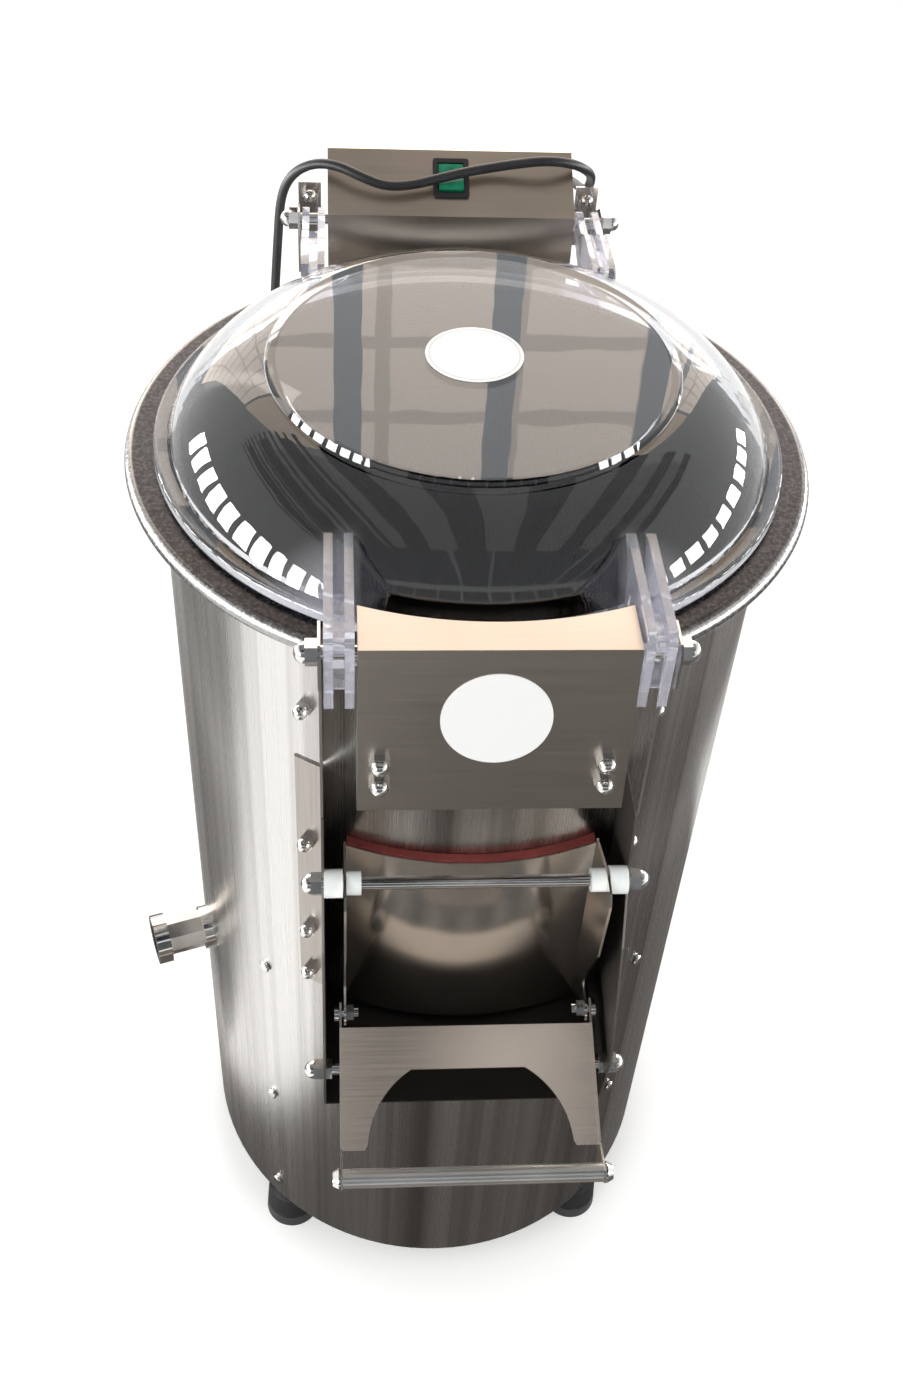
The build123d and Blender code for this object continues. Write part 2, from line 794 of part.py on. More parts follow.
with BuildPart() as frame_nuts:
    add_cap_nuts([radial_plane(a, strip_outer + 0.1, z) for a, z in flange_places], 10.0, bolt_radius + 0.1)
    add_cap_nuts([panel_plane(x, z, 0) for x, z in panel_places], 10.0, bolt_radius + 0.1)
    add_cap_nuts(tab_planes(0), 10.0, bolt_radius + 0.1)
write(frame_nuts, "frame_nuts")

# ---------------------------------------------------------------- front bracket
with BuildPart() as front_bracket:
    with BuildSketch(Plane.YZ.offset(-bracket_half_width)):
        with BuildLine():
            Polyline(
                (-190, bracket_top),
                (bracket_front_y, bracket_top),
                (bracket_foot_y, bracket_foot_z),
                (bracket_foot_y + 22, bracket_foot_z),
                (-207, 700),
                (-207, 760),
                (-190, 775),
                (-190, bracket_top),
            )
        make_face()
    extrude(amount=2 * bracket_half_width)
    with BuildSketch(Plane.YZ.offset(-bracket_half_width + sheet)):
        with BuildLine():
            panel_sheet = sheet / cos(panel_lean)
            Polyline(
                (-180, bracket_top - sheet),
                (panel_y(bracket_top - sheet) + panel_sheet, bracket_top - sheet),
                (panel_y(bracket_foot_z - 5) + panel_sheet, bracket_foot_z - 5),
                (-180, bracket_foot_z - 5),
                (-180, bracket_top - sheet),
            )
        make_face()
    extrude(amount=2 * (bracket_half_width - sheet), mode=Mode.SUBTRACT)
    with BuildSketch(Plane.XY.offset(rim_height + 2)):
        Circle(bracket_hollow_radius)
    extrude(amount=60, mode=Mode.SUBTRACT)
    cut_rods([panel_plane(x, z, 6) for x, z in panel_places], bolt_hole, 12)
    cut_rods(both_sides(bracket_half_width - 8, latch_pin_y, pin_height), pin_radius + 0.2, 16)
write(front_bracket, "front_bracket")

with BuildPart() as panel_angles:
    low, high = 690.0, 725.0
    for start, width, back in ((panel_screw_x - 9.5, 3.0, -170), (panel_screw_x - 9.5, 19.0, None)):
        with BuildSketch(Plane.YZ.offset(start)):
            inner = [(panel_y(z) + (sheet + 0.1) / cos(panel_lean), z) for z in (low, high)]
            outer = [(y + 3 / cos(panel_lean) if back is None else back, z) for y, z in reversed(inner)]
            Polygon(*inner, *outer, align=None)
        extrude(amount=width)
    cut_body()
    cut_rods([panel_plane(panel_screw_x, z, 9) for z in panel_screw_levels], bolt_hole, 12)
    mirror(about=Plane.YZ)
write(panel_angles, "panel_angles")

# ---------------------------------------------------------------- latch pins, rod, catch pins, cap nuts
nut_across = 13.0
with BuildPart() as latch_pins:
    add_rods(both_sides(bracket_half_width - sheet - 4, latch_pin_y, pin_height), pin_radius, 34.5)
    with BuildSketch(*both_sides(bracket_half_width - sheet - 4, latch_pin_y, pin_height)):
        RegularPolygon(nut_across / 2, 6, major_radius=False)
    extrude(amount=4)
write(latch_pins, "latch_pins")

with BuildPart() as door_rod:
    with Locations(Location((0, rod_y, rod_z), (0, 90, 0))):
        Cylinder(rod_radius, 2 * (cheek_x + sheet + 8))
write(door_rod, "door_rod")

with BuildPart() as catch_pins:
    add_rods(both_sides(arm_x - 1, catch_y, catch_z), pin_radius, cheek_x + sheet + 8 - arm_x + 1)
    with BuildSketch(*both_sides(cheek_x - 4, catch_y, catch_z)):
        RegularPolygon(nut_across / 2, 6, major_radius=False)
    extrude(amount=4)
write(catch_pins, "catch_pins")

hinge_cheek_x = rear_fin_x + fin_pitch + fin_thickness + 2
with BuildPart() as hinge_pins:
    head_x = box_half_width - sheet - 4
    add_rods(both_sides(head_x, hinge_pin_y, pin_height), pin_radius, hinge_cheek_x + sheet + 8 - head_x)
    with BuildSketch(*both_sides(head_x, hinge_pin_y, pin_height)):
        RegularPolygon(nut_across / 2, 6, major_radius=False)
    extrude(amount=4)
write(hinge_pins, "hinge_pins")

with BuildPart() as cap_nuts:
    nut_places = (
        (cheek_x + sheet, latch_pin_y, pin_height),
        (cheek_x + sheet, rod_y, rod_z),
        (cheek_x + sheet, catch_y, catch_z),
        (hinge_cheek_x + sheet, hinge_pin_y, pin_height),
    )
    for x, y, z in nut_places:
        add_cap_nuts(both_sides(x, y, z), nut_across, pin_radius + 0.1)
write(cap_nuts, "cap_nuts")

ear_x = door_half_width - sheet
with BuildPart() as rod_spacers:
    spacer_planes = both_sides(door_half_width + 0.6, rod_y, rod_z)
    with BuildSketch(*spacer_planes):
        Circle(8.8)
        Circle(rod_radius + running_gap, mode=Mode.SUBTRACT)
    extrude(amount=cheek_x - door_half_width - 0.6)
write(rod_spacers, "rod_spacers")

# ---------------------------------------------------------------- discharge door
ear_outline = [
    (-178, door_high),
    (-207, 586),
    (-225, 592),
    (-238, 591),
    (-243, 584),
    (-241, 563),
    (-237, 525),
    (-219, 484),
    (-213, 463),
    (-226, 461),
    (-226, 443),
    (-213, 441),
    (-178, door_low),
]
with BuildPart() as door_panel:
    with BuildSketch(Plane.XY.offset(door_low)):
        Circle(door_radius)
        Circle(door_radius - sheet, mode=Mode.SUBTRACT)
        with Locations((0, -door_radius)):
            Rectangle(2 * door_half_width, 80, mode=Mode.INTERSECT)
    extrude(amount=door_high - door_low)
    for side in (ear_x, -door_half_width):
        with BuildSketch(Plane.YZ.offset(side)):
            Polygon(*ear_outline, align=None)
            with Locations((pivot_y, pivot_z)):
                Circle(9)
        extrude(amount=sheet)
    with BuildSketch(Plane.XY.offset(door_low)):
        Circle(door_radius - sheet)
    extrude(amount=door_high - door_low + 30, mode=Mode.SUBTRACT)
    cut_rods(both_sides(ear_x - 5, rod_y, rod_z), 5.7, 12)
    cut_rods(both_sides(ear_x - 5, pivot_y, pivot_z), 3.1, 12)
write(door_panel, "door_panel")

with BuildPart() as door_gasket:
    with BuildSketch(Plane.XY.offset(door_low + 1)):
        Circle(door_radius - sheet)
        Circle(body_radius + 0.3, mode=Mode.SUBTRACT)
        with Locations((0, -door_radius)):
            Rectangle(2 * ear_x - 1, 90, mode=Mode.INTERSECT)
    extrude(amount=door_high - door_low)
    with BuildSketch(Plane.XZ.offset(100)):
        with Locations((0, (opening_low + opening_high) / 2)):
            RectangleRounded(2 * opening_half_width - 4, opening_high - opening_low - 4, 8)
    extrude(amount=120, mode=Mode.SUBTRACT)
write(door_gasket, "door_gasket")

with BuildPart() as door_bushes:
    with BuildSketch(*both_sides(ear_x - 9, rod_y, rod_z)):
        Circle(7.3)
    extrude(amount=9)
    add_rods(both_sides(ear_x - 0.5, rod_y, rod_z), 5.6, sheet + 0.8)
    cut_rods(both_sides(ear_x - 20, rod_y, rod_z), rod_radius + running_gap, 40)
write(door_bushes, "door_bushes")

with BuildPart() as pivot_bolts:
    add_rods(both_sides(ear_x - 8, pivot_y, pivot_z), 3.0, arm_x + sheet + 0.5 - ear_x + 8)
    with BuildSketch(*both_sides(arm_x + sheet + 0.3, pivot_y, pivot_z)):
        Circle(6)
    extrude(amount=3)
    with BuildSketch(*both_sides(ear_x - 5, pivot_y, pivot_z)):
        RegularPolygon(5, 6, major_radius=False)
    extrude(amount=5)
write(pivot_bolts, "pivot_bolts")

# ---------------------------------------------------------------- handle
flap_top = (-238.0, 452.0)
flap_foot = (-312.0, 426.0)
flap_slope = atan2(flap_foot[1] - flap_top[1], -(flap_foot[0] - flap_top[0]))
flap_length = sqrt((flap_foot[0] - flap_top[0]) ** 2 + (flap_foot[1] - flap_top[1]) ** 2)
flap_plane = Plane(
    origin=(0, flap_top[0], flap_top[1]),
    x_dir=(1, 0, 0),
    z_dir=(0, sin(flap_slope), cos(flap_slope)),
)
arm_outline = [
    (pivot_y + 2, pivot_z + 9),
    (flap_top[0], flap_top[1] + sheet),
    (flap_foot[0], flap_foot[1] + sheet + 1),
    (bar_y - 2, bar_z + 6),
    (bar_y - 7, bar_z - 1),
    (bar_y - 2, bar_z - 7),
    (flap_foot[0], flap_foot[1] - 9),
    (catch_y - 8, catch_z - 5),
    (catch_y - pin_radius - 0.5, catch_z - 3),
    (catch_y - pin_radius - 0.5, catch_z + pin_radius + 0.4),
    (pivot_y, catch_z + pin_radius + 1.6),
    (pivot_y + 6, pivot_z - 7),
    (pivot_y + 9, pivot_z),
]
with BuildPart() as handle_bracket:
    with BuildSketch(flap_plane):
        with Locations((0, -flap_length / 2)):
            Rectangle(2 * (arm_x + sheet), flap_length)
    extrude(amount=sheet)
    # arch between the two feet of the flap
    with BuildSketch(flap_plane):
        with BuildLine():
            arch_foot = -flap_length + 3
            Polyline((-arch_crown, arch_top), (arch_crown, arch_top))
            ThreePointArc((arch_crown, arch_top), (arch_waist, -47), (arch_half_width, arch_foot))
            Polyline(
                (arch_half_width, arch_foot),
                (arch_half_width + 3, arch_foot - 5),
                (-arch_half_width - 3, arch_foot - 5),
                (-arch_half_width, arch_foot),
            )
            ThreePointArc((-arch_half_width, arch_foot), (-arch_waist, -47), (-arch_crown, arch_top))
        make_face()
    extrude(amount=sheet * 2, both=True, mode=Mode.SUBTRACT)
    for side in (arm_x, -arm_x - sheet):
        with BuildSketch(Plane.YZ.offset(side)):
            Polygon(*arm_outline, align=None)
        extrude(amount=sheet)
    cut_rods(both_sides(arm_x - 5, pivot_y, pivot_z), 3.0 + running_gap, 12)
    cut_rods(both_sides(arm_x - 5, bar_y, bar_z), 3.2, 12)
write(handle_bracket, "handle_bracket")

with BuildPart() as handle_bar:
    with Locations(Location((0, bar_y, bar_z), (0, 90, 0))):
        Cylinder(bar_radius, 2 * arm_x)
    cut_rods([side_plane(arm_x - 14, bar_y, bar_z), side_plane(14 - arm_x, bar_y, bar_z)], 3.1, 20)
write(handle_bar, "handle_bar")

with BuildPart() as bar_screws:
    bar_ends = both_sides(arm_x + sheet, bar_y, bar_z)
    with BuildSketch(*bar_ends):
        Circle(6.6)
    extrude(amount=1)
    with BuildSketch(*[plane.offset(1) for plane in bar_ends]):
        Circle(6.6)
    extrude(amount=3.6, taper=28)
    add_rods(both_sides(arm_x - 13, bar_y, bar_z), 3.0, 14 + sheet)
write(bar_screws, "bar_screws")

# ---------------------------------------------------------------- lid
seat = rim_height + lid_gap
with BuildPart() as lid:
    with BuildSketch(Plane.XZ):
        with BuildLine():
            Polyline((0, seat), (lid_radius, seat), (lid_radius, seat + 4))
            RadiusArc((lid_radius, seat + 4), (lid_radius - 3, seat + 7), -3)
            Line((lid_radius - 3, seat + 7), (188, seat + 7))
            ThreePointArc((188, seat + 7), (169, 789), (plateau_radius + 2, plateau_height - 4))
            Polyline(
                (plateau_radius + 2, plateau_height - 4),
                (plateau_radius, plateau_height),
                (0, plateau_height),
                (0, seat),
            )
        make_face()
    revolve(axis=Axis.Z)
    front_fin = [
        (-130, 780),
        (-150, 797),
        (-230, 797),
        (-234, 793),
        (-234, 747),
        (-231, 743),
        (-210, 743),
        (-207, 746),
        (-207, 757),
        (-150, 757),
    ]
    rear_fin = [
        (120, 775),
        (138, 795),
        (hinge_pin_y - 45, 794),
        (hinge_pin_y - 30, pin_height + knuckle_radius),
        (hinge_pin_y, pin_height + knuckle_radius),
        (hinge_pin_y, pin_height - knuckle_radius),
        (hinge_pin_y - 30, 762),
        (150, 757),
    ]
    for base in (front_fin_x, front_fin_x + fin_pitch):
        for side in (base, -base - fin_thickness):
            with BuildSketch(Plane.YZ.offset(side)):
                Polygon(*front_fin, align=None)
            extrude(amount=fin_thickness)
    for base in (rear_fin_x, rear_fin_x + fin_pitch):
        for side in (base, -base - fin_thickness):
            with BuildSketch(Plane.YZ.offset(side)):
                Polygon(*rear_fin, align=None)
                with Locations((hinge_pin_y, pin_height)):
                    Circle(knuckle_radius)
            extrude(amount=fin_thickness)
    # webs that join each pair of fins
    web_width = fin_pitch - fin_thickness
    front_web = [(-229, 743), (-229, 790), (-214, 790), (-175, 775), (-175, 758), (-212, 758), (-214, 743)]
    rear_web = [(150, 760), (150, 785), (205, 783), (205, 768)]
    for side in (front_fin_x + fin_thickness, -front_fin_x - fin_pitch):
        with BuildSketch(Plane.YZ.offset(side)):
            Polygon(*front_web, align=None)
        extrude(amount=web_width)
    for side in (rear_fin_x + fin_thickness, -rear_fin_x - fin_pitch):
        with BuildSketch(Plane.YZ.offset(side)):
            Polygon(*rear_web, align=None)
        extrude(amount=web_width)
    # slots that let the front ears drop over the latch pins, wider at the mouth
    slot_half = pin_radius + 0.5
    for side in (front_fin_x - 1, -front_fin_x - fin_pitch - fin_thickness - 1):
        with BuildSketch(Plane.YZ.offset(side)):
            Polygon(
                (latch_pin_y - slot_half, pin_height),
                (latch_pin_y - slot_half - 3, 740),
                (latch_pin_y + slot_half + 5, 740),
                (latch_pin_y + slot_half, pin_height),
                align=None,
            )
            with Locations((latch_pin_y, pin_height)):
                Circle(slot_half)
        extrude(amount=fin_pitch + fin_thickness + 2, mode=Mode.SUBTRACT)
    cut_rods(both_sides(rear_fin_x - 2, hinge_pin_y, pin_height), pin_radius + running_gap, 24)
    with BuildSketch(Plane.XZ):
        with BuildLine():
            Polyline((0, seat - 1), (188 - lid_wall, seat - 1), (188 - lid_wall, seat + 7))
            ThreePointArc(
                (188 - lid_wall, seat + 7),
                (165.5, 785),
                (plateau_radius - 3, plateau_height - lid_wall - 3.5),
            )
            Polyline(
                (plateau_radius - 3, plateau_height - lid_wall - 3.5),
                (plateau_radius - 5, plateau_height - lid_wall),
                (0, plateau_height - lid_wall),
                (0, seat - 1),
            )
        make_face()
    revolve(axis=Axis.Z, mode=Mode.SUBTRACT)
write(lid, "lid")

# ---------------------------------------------------------------- control box
box_outline = [
    (box_front_y, box_low),
    (box_front_y, fold_z),
    (box_back_y - 2, console_top_z),
    (box_back_y, console_top_z),
    (box_back_y, box_low),
]
gland_place = Plane(origin=(64, box_back_y, 690), x_dir=(1, 0, 0), z_dir=(0, 1, 0))
with BuildPart() as control_box:
    with BuildSketch(Plane.YZ.offset(-box_half_width)):
        Polygon(*box_outline, align=None)
    extrude(amount=2 * box_half_width)
    with BuildSketch(Plane.YZ.offset(-box_half_width + sheet)):
        Polygon(
            (box_front_y + sheet, box_low + sheet),
            (box_front_y + sheet, fold_z - sheet * 0.75),
            (box_back_y - 2, console_top_z - sheet * 1.15 - 0.5),
            (box_back_y + 1, console_top_z - sheet * 1.15 - 0.5),
            (box_back_y + 1, box_low + sheet),
            align=None,
        )
    extrude(amount=2 * (box_half_width - sheet), mode=Mode.SUBTRACT)
    with BuildSketch(switch_plane):
        Rectangle(2 * switch_half_width - 4, 2 * switch_half_length - 4)
    extrude(amount=10, both=True, mode=Mode.SUBTRACT)
    cut_rods(both_sides(box_half_width - 5, hinge_pin_y, pin_height), pin_radius + 0.2, 10)
    with BuildSketch(radial_plane(90, box_front_y - 5, 648)):
        SlotCenterToCenter(10, 12, rotation=90)
    extrude(amount=10, mode=Mode.SUBTRACT)
write(control_box, "control_box")

with BuildPart() as control_box_back:
    with BuildSketch(Plane(origin=(0, box_back_y - 1, 0), x_dir=(1, 0, 0), z_dir=(0, -1, 0))):
        with Locations((0, (box_low + console_top_z) / 2 - 0.6)):
            Rectangle(2 * (box_half_width - sheet) - 0.4, console_top_z - box_low - 4.6)
    extrude(amount=sheet)
    cut_rods([gland_place.offset(-6)], 8.0, 12)
write(control_box_back, "control_box_back")

with BuildPart() as box_saddle:
    with BuildSketch(Plane.XY.offset(615)):
        with Locations((0, 206)):
            Rectangle(120, 32)
        with Locations((0, 203)):
            Rectangle(120 - 2 * sheet, 35, mode=Mode.SUBTRACT)
    extrude(amount=110)
    with BuildSketch(Plane.XY.offset(600)):
        Circle(body_radius)
    extrude(amount=140, mode=Mode.SUBTRACT)
    with BuildSketch(radial_plane(90, 216, 646)):
        SlotCenterToCenter(14, 12, rotation=90)
    extrude(amount=10, mode=Mode.SUBTRACT)
write(box_saddle, "box_saddle")

with BuildPart() as run_capacitor:
    with BuildSketch(Plane.XY.offset(box_low + sheet)):
        with Locations((-52, 246)):
            Circle(19)
    extrude(amount=78)
    fillet(run_capacitor.faces().sort_by(Axis.Z)[-1].edges(), 3)
write(run_capacitor, "run_capacitor")

# hinge brackets: a cheek outside the lid's fins and a foot that is screwed to the box's side
bracket_low = 724.0
with BuildPart() as hinge_brackets:
    for side in (hinge_cheek_x, -hinge_cheek_x - sheet):
        with BuildSketch(Plane.YZ.offset(side)):
            Polygon(
                (224, 740),
                (222, 776),
                (225, 787),
                (236, 788),
                (262, 772),
                (262, bracket_low),
                align=None,
            )
        extrude(amount=sheet)
    foot_width = hinge_cheek_x - box_half_width
    for side in (box_half_width, -hinge_cheek_x):
        with BuildSketch(Plane.YZ.offset(side)):
            Polygon(
                (248, bracket_low),
                (248, bracket_low + sheet),
                (262, bracket_low + sheet),
                (262, bracket_low),
                align=None,
            )
        extrude(amount=foot_width)
    for side in (box_half_width, -box_half_width - sheet):
        with BuildSketch(Plane.YZ.offset(side)):
            Polygon((248, bracket_low), (262, bracket_low), (262, 700), (248, 700), align=None)
        extrude(amount=sheet)
    # tab folded from each cheek's back edge, with a screw
    for side in (tab_inner_x, -hinge_cheek_x - sheet):
        with BuildSketch(Plane.YZ.offset(side)):
            Polygon(
                (tab_front_y, tab_low),
                (tab_front_y, tab_high),
                (tab_front_y + sheet, tab_high),
                (tab_front_y + sheet, tab_low),
                align=None,
            )
        extrude(amount=hinge_cheek_x + sheet - tab_inner_x)
    cut_rods(both_sides(hinge_cheek_x - 5, hinge_pin_y, pin_height), pin_radius + 0.2, 10)
    cut_rods(tab_planes(5), bolt_hole, 10)
write(hinge_brackets, "hinge_brackets")

# ---------------------------------------------------------------- switch
bezel_height = 2.0
with BuildPart() as switch_case:
    with BuildSketch(switch_plane):
        RectangleRounded(2 * switch_half_width, 2 * switch_half_length, 2)
    extrude(amount=bezel_height)
    with BuildSketch(switch_plane):
        Rectangle(2 * switch_half_width - 4.4, 2 * switch_half_length - 4.4)
    extrude(amount=-14)
    with BuildSketch(switch_plane.offset(bezel_height)):
        Rectangle(2 * switch_half_width - 7, 2 * switch_half_length - 7)
    extrude(amount=-14, mode=Mode.SUBTRACT)
write(switch_case, "switch_case")

rocker_half = switch_half_length - 4.2
rocker_tilt = radians(9)
with BuildPart() as rocker:
    with BuildSketch(rocker_side_plane.offset(-switch_half_width + 4)):
        with BuildLine():
            high_end = (-rocker_half * cos(rocker_tilt), 1.6 + rocker_half * sin(rocker_tilt) * 1.6)
            Polyline(
                (rocker_half - 0.3, 1.6),
                (0.6, 1.4),
                high_end,
                (-rocker_half + 1.0, -1.5),
                (-5, -6.5),
            )
            RadiusArc((-5, -6.5), (5, -6.5), -7)
            Polyline((5, -6.5), (rocker_half - 0.6, -2.5), (rocker_half - 0.3, 1.6))
        make_face()
    extrude(amount=2 * switch_half_width - 8)
write(rocker, "rocker")

# ---------------------------------------------------------------- cord
with BuildPart() as cable_gland:
    with BuildSketch(gland_place.offset(0.5)):
        RegularPolygon(10, 6, major_radius=False)
    extrude(amount=5)
    with BuildSketch(gland_place.offset(-8)):
        Circle(7.8)
    extrude(amount=20)
    with BuildSketch(gland_place.offset(5.5)):
        Circle(9.5)
    extrude(amount=7)
    # tapered strain relief
    with BuildSketch(gland_place.offset(12)):
        Circle(7.0)
    with BuildSketch(gland_place.offset(40)):
        Circle(4.6)
    loft()
    cut_rods([gland_place.offset(-10)], cord_radius, 60)
write(cable_gland, "cable_gland")


def corner_radii(route):
    """The radius of the arc at each corner of a route: as large as its two runs allow."""
    radii = []
    for before, corner, after in zip(route, route[1:], route[2:]):
        into = Vector(*corner) - Vector(*before)
        out = Vector(*after) - Vector(*corner)
        half_turn = radians(into.get_angle(out)) / 2
        radii.append(0.45 * min(into.length, out.length) / tan(half_turn))
    return radii


routed_length = 0
with BuildPart() as power_cord:
    for route in (cord_route, tail_route):
        radii = corner_radii(route)
        with BuildLine() as path:
            FilletPolyline(*route, radius=radii)
        first = Vector(*route[1]) - Vector(*route[0])
        with BuildSketch(Plane(origin=route[0], z_dir=first)):
            Circle(cord_radius)
        sweep()
        routed_length += path.wires()[0].length
        print("cord radii", [round(radius) for radius in radii])
expected_volume = pi * cord_radius**2 * routed_length
print("cord length", round(routed_length), "mm")
print("cord volume ratio", round(power_cord.part.volume / expected_volume, 4))
write(power_cord, "power_cord")

with BuildPart() as cord_coil:
    with BuildSketch(Plane.XY):
        with Locations(coil_centre):
            Circle(coil_radius + 2 * cord_radius)
            Circle(coil_radius - 2 * cord_radius, mode=Mode.SUBTRACT)
    extrude(amount=4 * cord_radius)
    fillet(cord_coil.edges().filter_by(GeomType.CIRCLE), 3.0)
write(cord_coil, "cord_coil")

plug_start = tail_route[-1]
with BuildPart() as mains_plug:
    plug_plane = Plane(origin=plug_start, x_dir=(0, 1, 0), z_dir=(-1, 0, 0))
    for low, high, first_radius, last_radius in ((0, 24, 4.6, 7.0), (22, 34, 9.0, 13.0)):
        with BuildSketch(plug_plane.offset(low)):
            Circle(first_radius)
        with BuildSketch(plug_plane.offset(high)):
            Circle(last_radius)
        loft()
    with BuildSketch(plug_plane.offset(34)):
        Circle(18)
    extrude(amount=24)
    with BuildSketch(plug_plane.offset(58)):
        with Locations((-9.5, 0), (9.5, 0)):
            Circle(2.4)
    extrude(amount=19)
    cut_rods([plug_plane.offset(-1)], cord_radius, 12)
write(mains_plug, "mains_plug")

# ---------------------------------------------------------------- motor lead
lead_route = [
    (0.0, 250.0, 655.0),
    (0.0, 222.0, 648.0),
    (0.0, 197.0, 628.0),
    (0.0, 187.0, 590.0),
    (1.2, 187.0, 520.0),
    (-1.2, 187.0, 440.0),
    (1.2, 187.0, 360.0),
    (0.0, 184.0, 290.0),
    (0.0, 183.0, 232.0),
]
with BuildPart() as motor_lead:
    with BuildLine():
        FilletPolyline(*lead_route, radius=corner_radii(lead_route))
    first = Vector(*lead_route[1]) - Vector(*lead_route[0])
    with BuildSketch(Plane(origin=lead_route[0], z_dir=first)):
        Circle(lead_radius)
    sweep()
write(motor_lead, "motor_lead")

# ---------------------------------------------------------------- blank labels
with BuildPart() as lid_label:
    with BuildSketch(Plane.XY.offset(plateau_height)):
        Circle(label_radius)
    extrude(amount=label_thickness)
write(lid_label, "lid_label")

with BuildPart() as front_label:
    with BuildSketch(panel_plane(0, label_level, 0)):
        Circle(label_radius)
    extrude(amount=label_thickness)
write(front_label, "front_label")
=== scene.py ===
"""Finishes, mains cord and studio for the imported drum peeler."""

import math
from typing import NamedTuple

import bmesh
import bpy
from bpy.props import FloatProperty, FloatVectorProperty, PointerProperty
from mathutils import Matrix, Vector


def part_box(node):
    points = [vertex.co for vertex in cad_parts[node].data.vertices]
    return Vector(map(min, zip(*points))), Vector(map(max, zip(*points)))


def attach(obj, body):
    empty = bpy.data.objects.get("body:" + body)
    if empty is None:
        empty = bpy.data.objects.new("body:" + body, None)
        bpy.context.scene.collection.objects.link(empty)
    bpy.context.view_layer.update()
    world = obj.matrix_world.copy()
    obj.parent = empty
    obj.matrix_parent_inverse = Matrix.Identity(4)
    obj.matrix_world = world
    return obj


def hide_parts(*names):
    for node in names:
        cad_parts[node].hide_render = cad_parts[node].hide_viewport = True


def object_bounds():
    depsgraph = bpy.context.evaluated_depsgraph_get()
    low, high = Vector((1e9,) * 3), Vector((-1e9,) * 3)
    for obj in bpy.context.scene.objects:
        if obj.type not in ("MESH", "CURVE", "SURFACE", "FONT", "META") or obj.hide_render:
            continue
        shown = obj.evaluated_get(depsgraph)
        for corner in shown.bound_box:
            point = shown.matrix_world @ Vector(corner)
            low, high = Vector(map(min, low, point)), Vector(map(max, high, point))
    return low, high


bl_info = {
    "name": "Potato peeler dressing",
    "version": (1, 0, 0),
    "blender": (4, 5, 0),
    "location": "3D View > Sidebar > Peeler",
    "description": "Finishes, mains cord and studio around the packed peeler",
    "category": "Object",
}

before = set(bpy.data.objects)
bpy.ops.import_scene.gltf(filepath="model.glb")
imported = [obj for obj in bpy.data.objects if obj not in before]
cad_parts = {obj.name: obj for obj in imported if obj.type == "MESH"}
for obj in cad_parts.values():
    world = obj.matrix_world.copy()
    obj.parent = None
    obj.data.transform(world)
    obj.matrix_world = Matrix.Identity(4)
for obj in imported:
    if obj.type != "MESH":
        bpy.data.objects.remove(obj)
bpy.context.view_layer.update()
CAD_BOX = [list(corner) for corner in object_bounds()]

MM = 0.001
FLOOR_LEVEL = CAD_BOX[0][2]
EVEN = (1, 1, 1)  # stretch of a grain that runs no way
UPRIGHT = (1, 1, 0.02)  # stretch of a grain that runs up and down
SIDEWAYS = (0.02, 1, 1)  # stretch of a grain that runs from side to side
MOST_NOISE = (0.3, 0.7)  # between these lie most values of a noise
WHITE = (1, 1, 1)
CABLE_GREY = (0.30, 0.30, 0.31)
CAN_GREY = (0.72, 0.72, 0.70)
ALLOY_GREY = (0.5, 0.5, 0.49)


def colour_property(name, description, default):
    return FloatVectorProperty(
        name=name, description=description, default=default, subtype="COLOR", min=0, max=1
    )


class PeelerFinishes(bpy.types.PropertyGroup):
    """Colours and textures of the peeler's surfaces."""

    body_colour: colour_property("Body steel", "Pale bands of the body", (0.70, 0.685, 0.67))
    sheet_colour: colour_property("Sheet steel", "Satin sheet of the brackets", (0.46, 0.42, 0.385))
    box_colour: colour_property("Box steel", "Sheet of the control box", (0.62, 0.545, 0.465))
    polished_colour: colour_property("Polished steel", "Pins, nuts and bar", (0.78, 0.77, 0.75))
    # painted shade on the rim's flange and a painted highlight on its bead, which are one spun
    # steel
    shaded_rim_colour: colour_property("Rim flange", "Ring under the lid's edge", (0.026, 0.026, 0.029))
    highlit_bead_colour: colour_property("Rim bead", "Rolled outer bead of the ring", (0.50, 0.49, 0.48))
    drum_colour: colour_property("Drum steel", "Inner drum and drum floor", (0.36, 0.335, 0.31))
    door_colour: colour_property("Door steel", "Smooth curved door panel", (0.72, 0.68, 0.63))
    plated_colour: colour_property("Plated brass", "Water and drain fittings", (0.90, 0.87, 0.82))
    lid_colour: colour_property("Lid plastic", "Tint of the clear lid", (0.97, 0.98, 1.0))
    ear_colour: colour_property("Ear plastic", "Tint of the lid's thick ears", (0.90, 0.90, 0.98))
    nylon_colour: colour_property("Nylon", "Spacers and bushes", (0.86, 0.90, 0.89))
    silicone_colour: colour_property("Silicone", "Door gasket", (0.25, 0.055, 0.048))
    grit_colour: colour_property("Grit", "Abrasive disc and lining", (0.0045, 0.005, 0.0075))
    rubber_colour: colour_property("Rubber", "Feet and seals", (0.022, 0.022, 0.024))
    plastic_colour: colour_property("Black plastic", "Switch and plug", (0.016, 0.016, 0.018))
    rocker_colour: colour_property("Rocker", "Translucent green rocker", (0.02, 0.26, 0.14))
    label_colour: colour_property("Label", "Blank round labels", (0.87, 0.87, 0.87))
    ring_colour: colour_property("Label ring", "Thin ring on the lid's label", (0.60, 0.60, 0.61))
    casting_colour: colour_property("Casting", "Painted castings of the drive", (0.17, 0.18, 0.20))
    brush_depth: FloatProperty(
        name="Brush depth",
        description="Depth of the brushed lines in the body",
        default=0.00004,
        min=0,
        unit="LENGTH",
        subtype="DISTANCE",
        precision=5,
    )


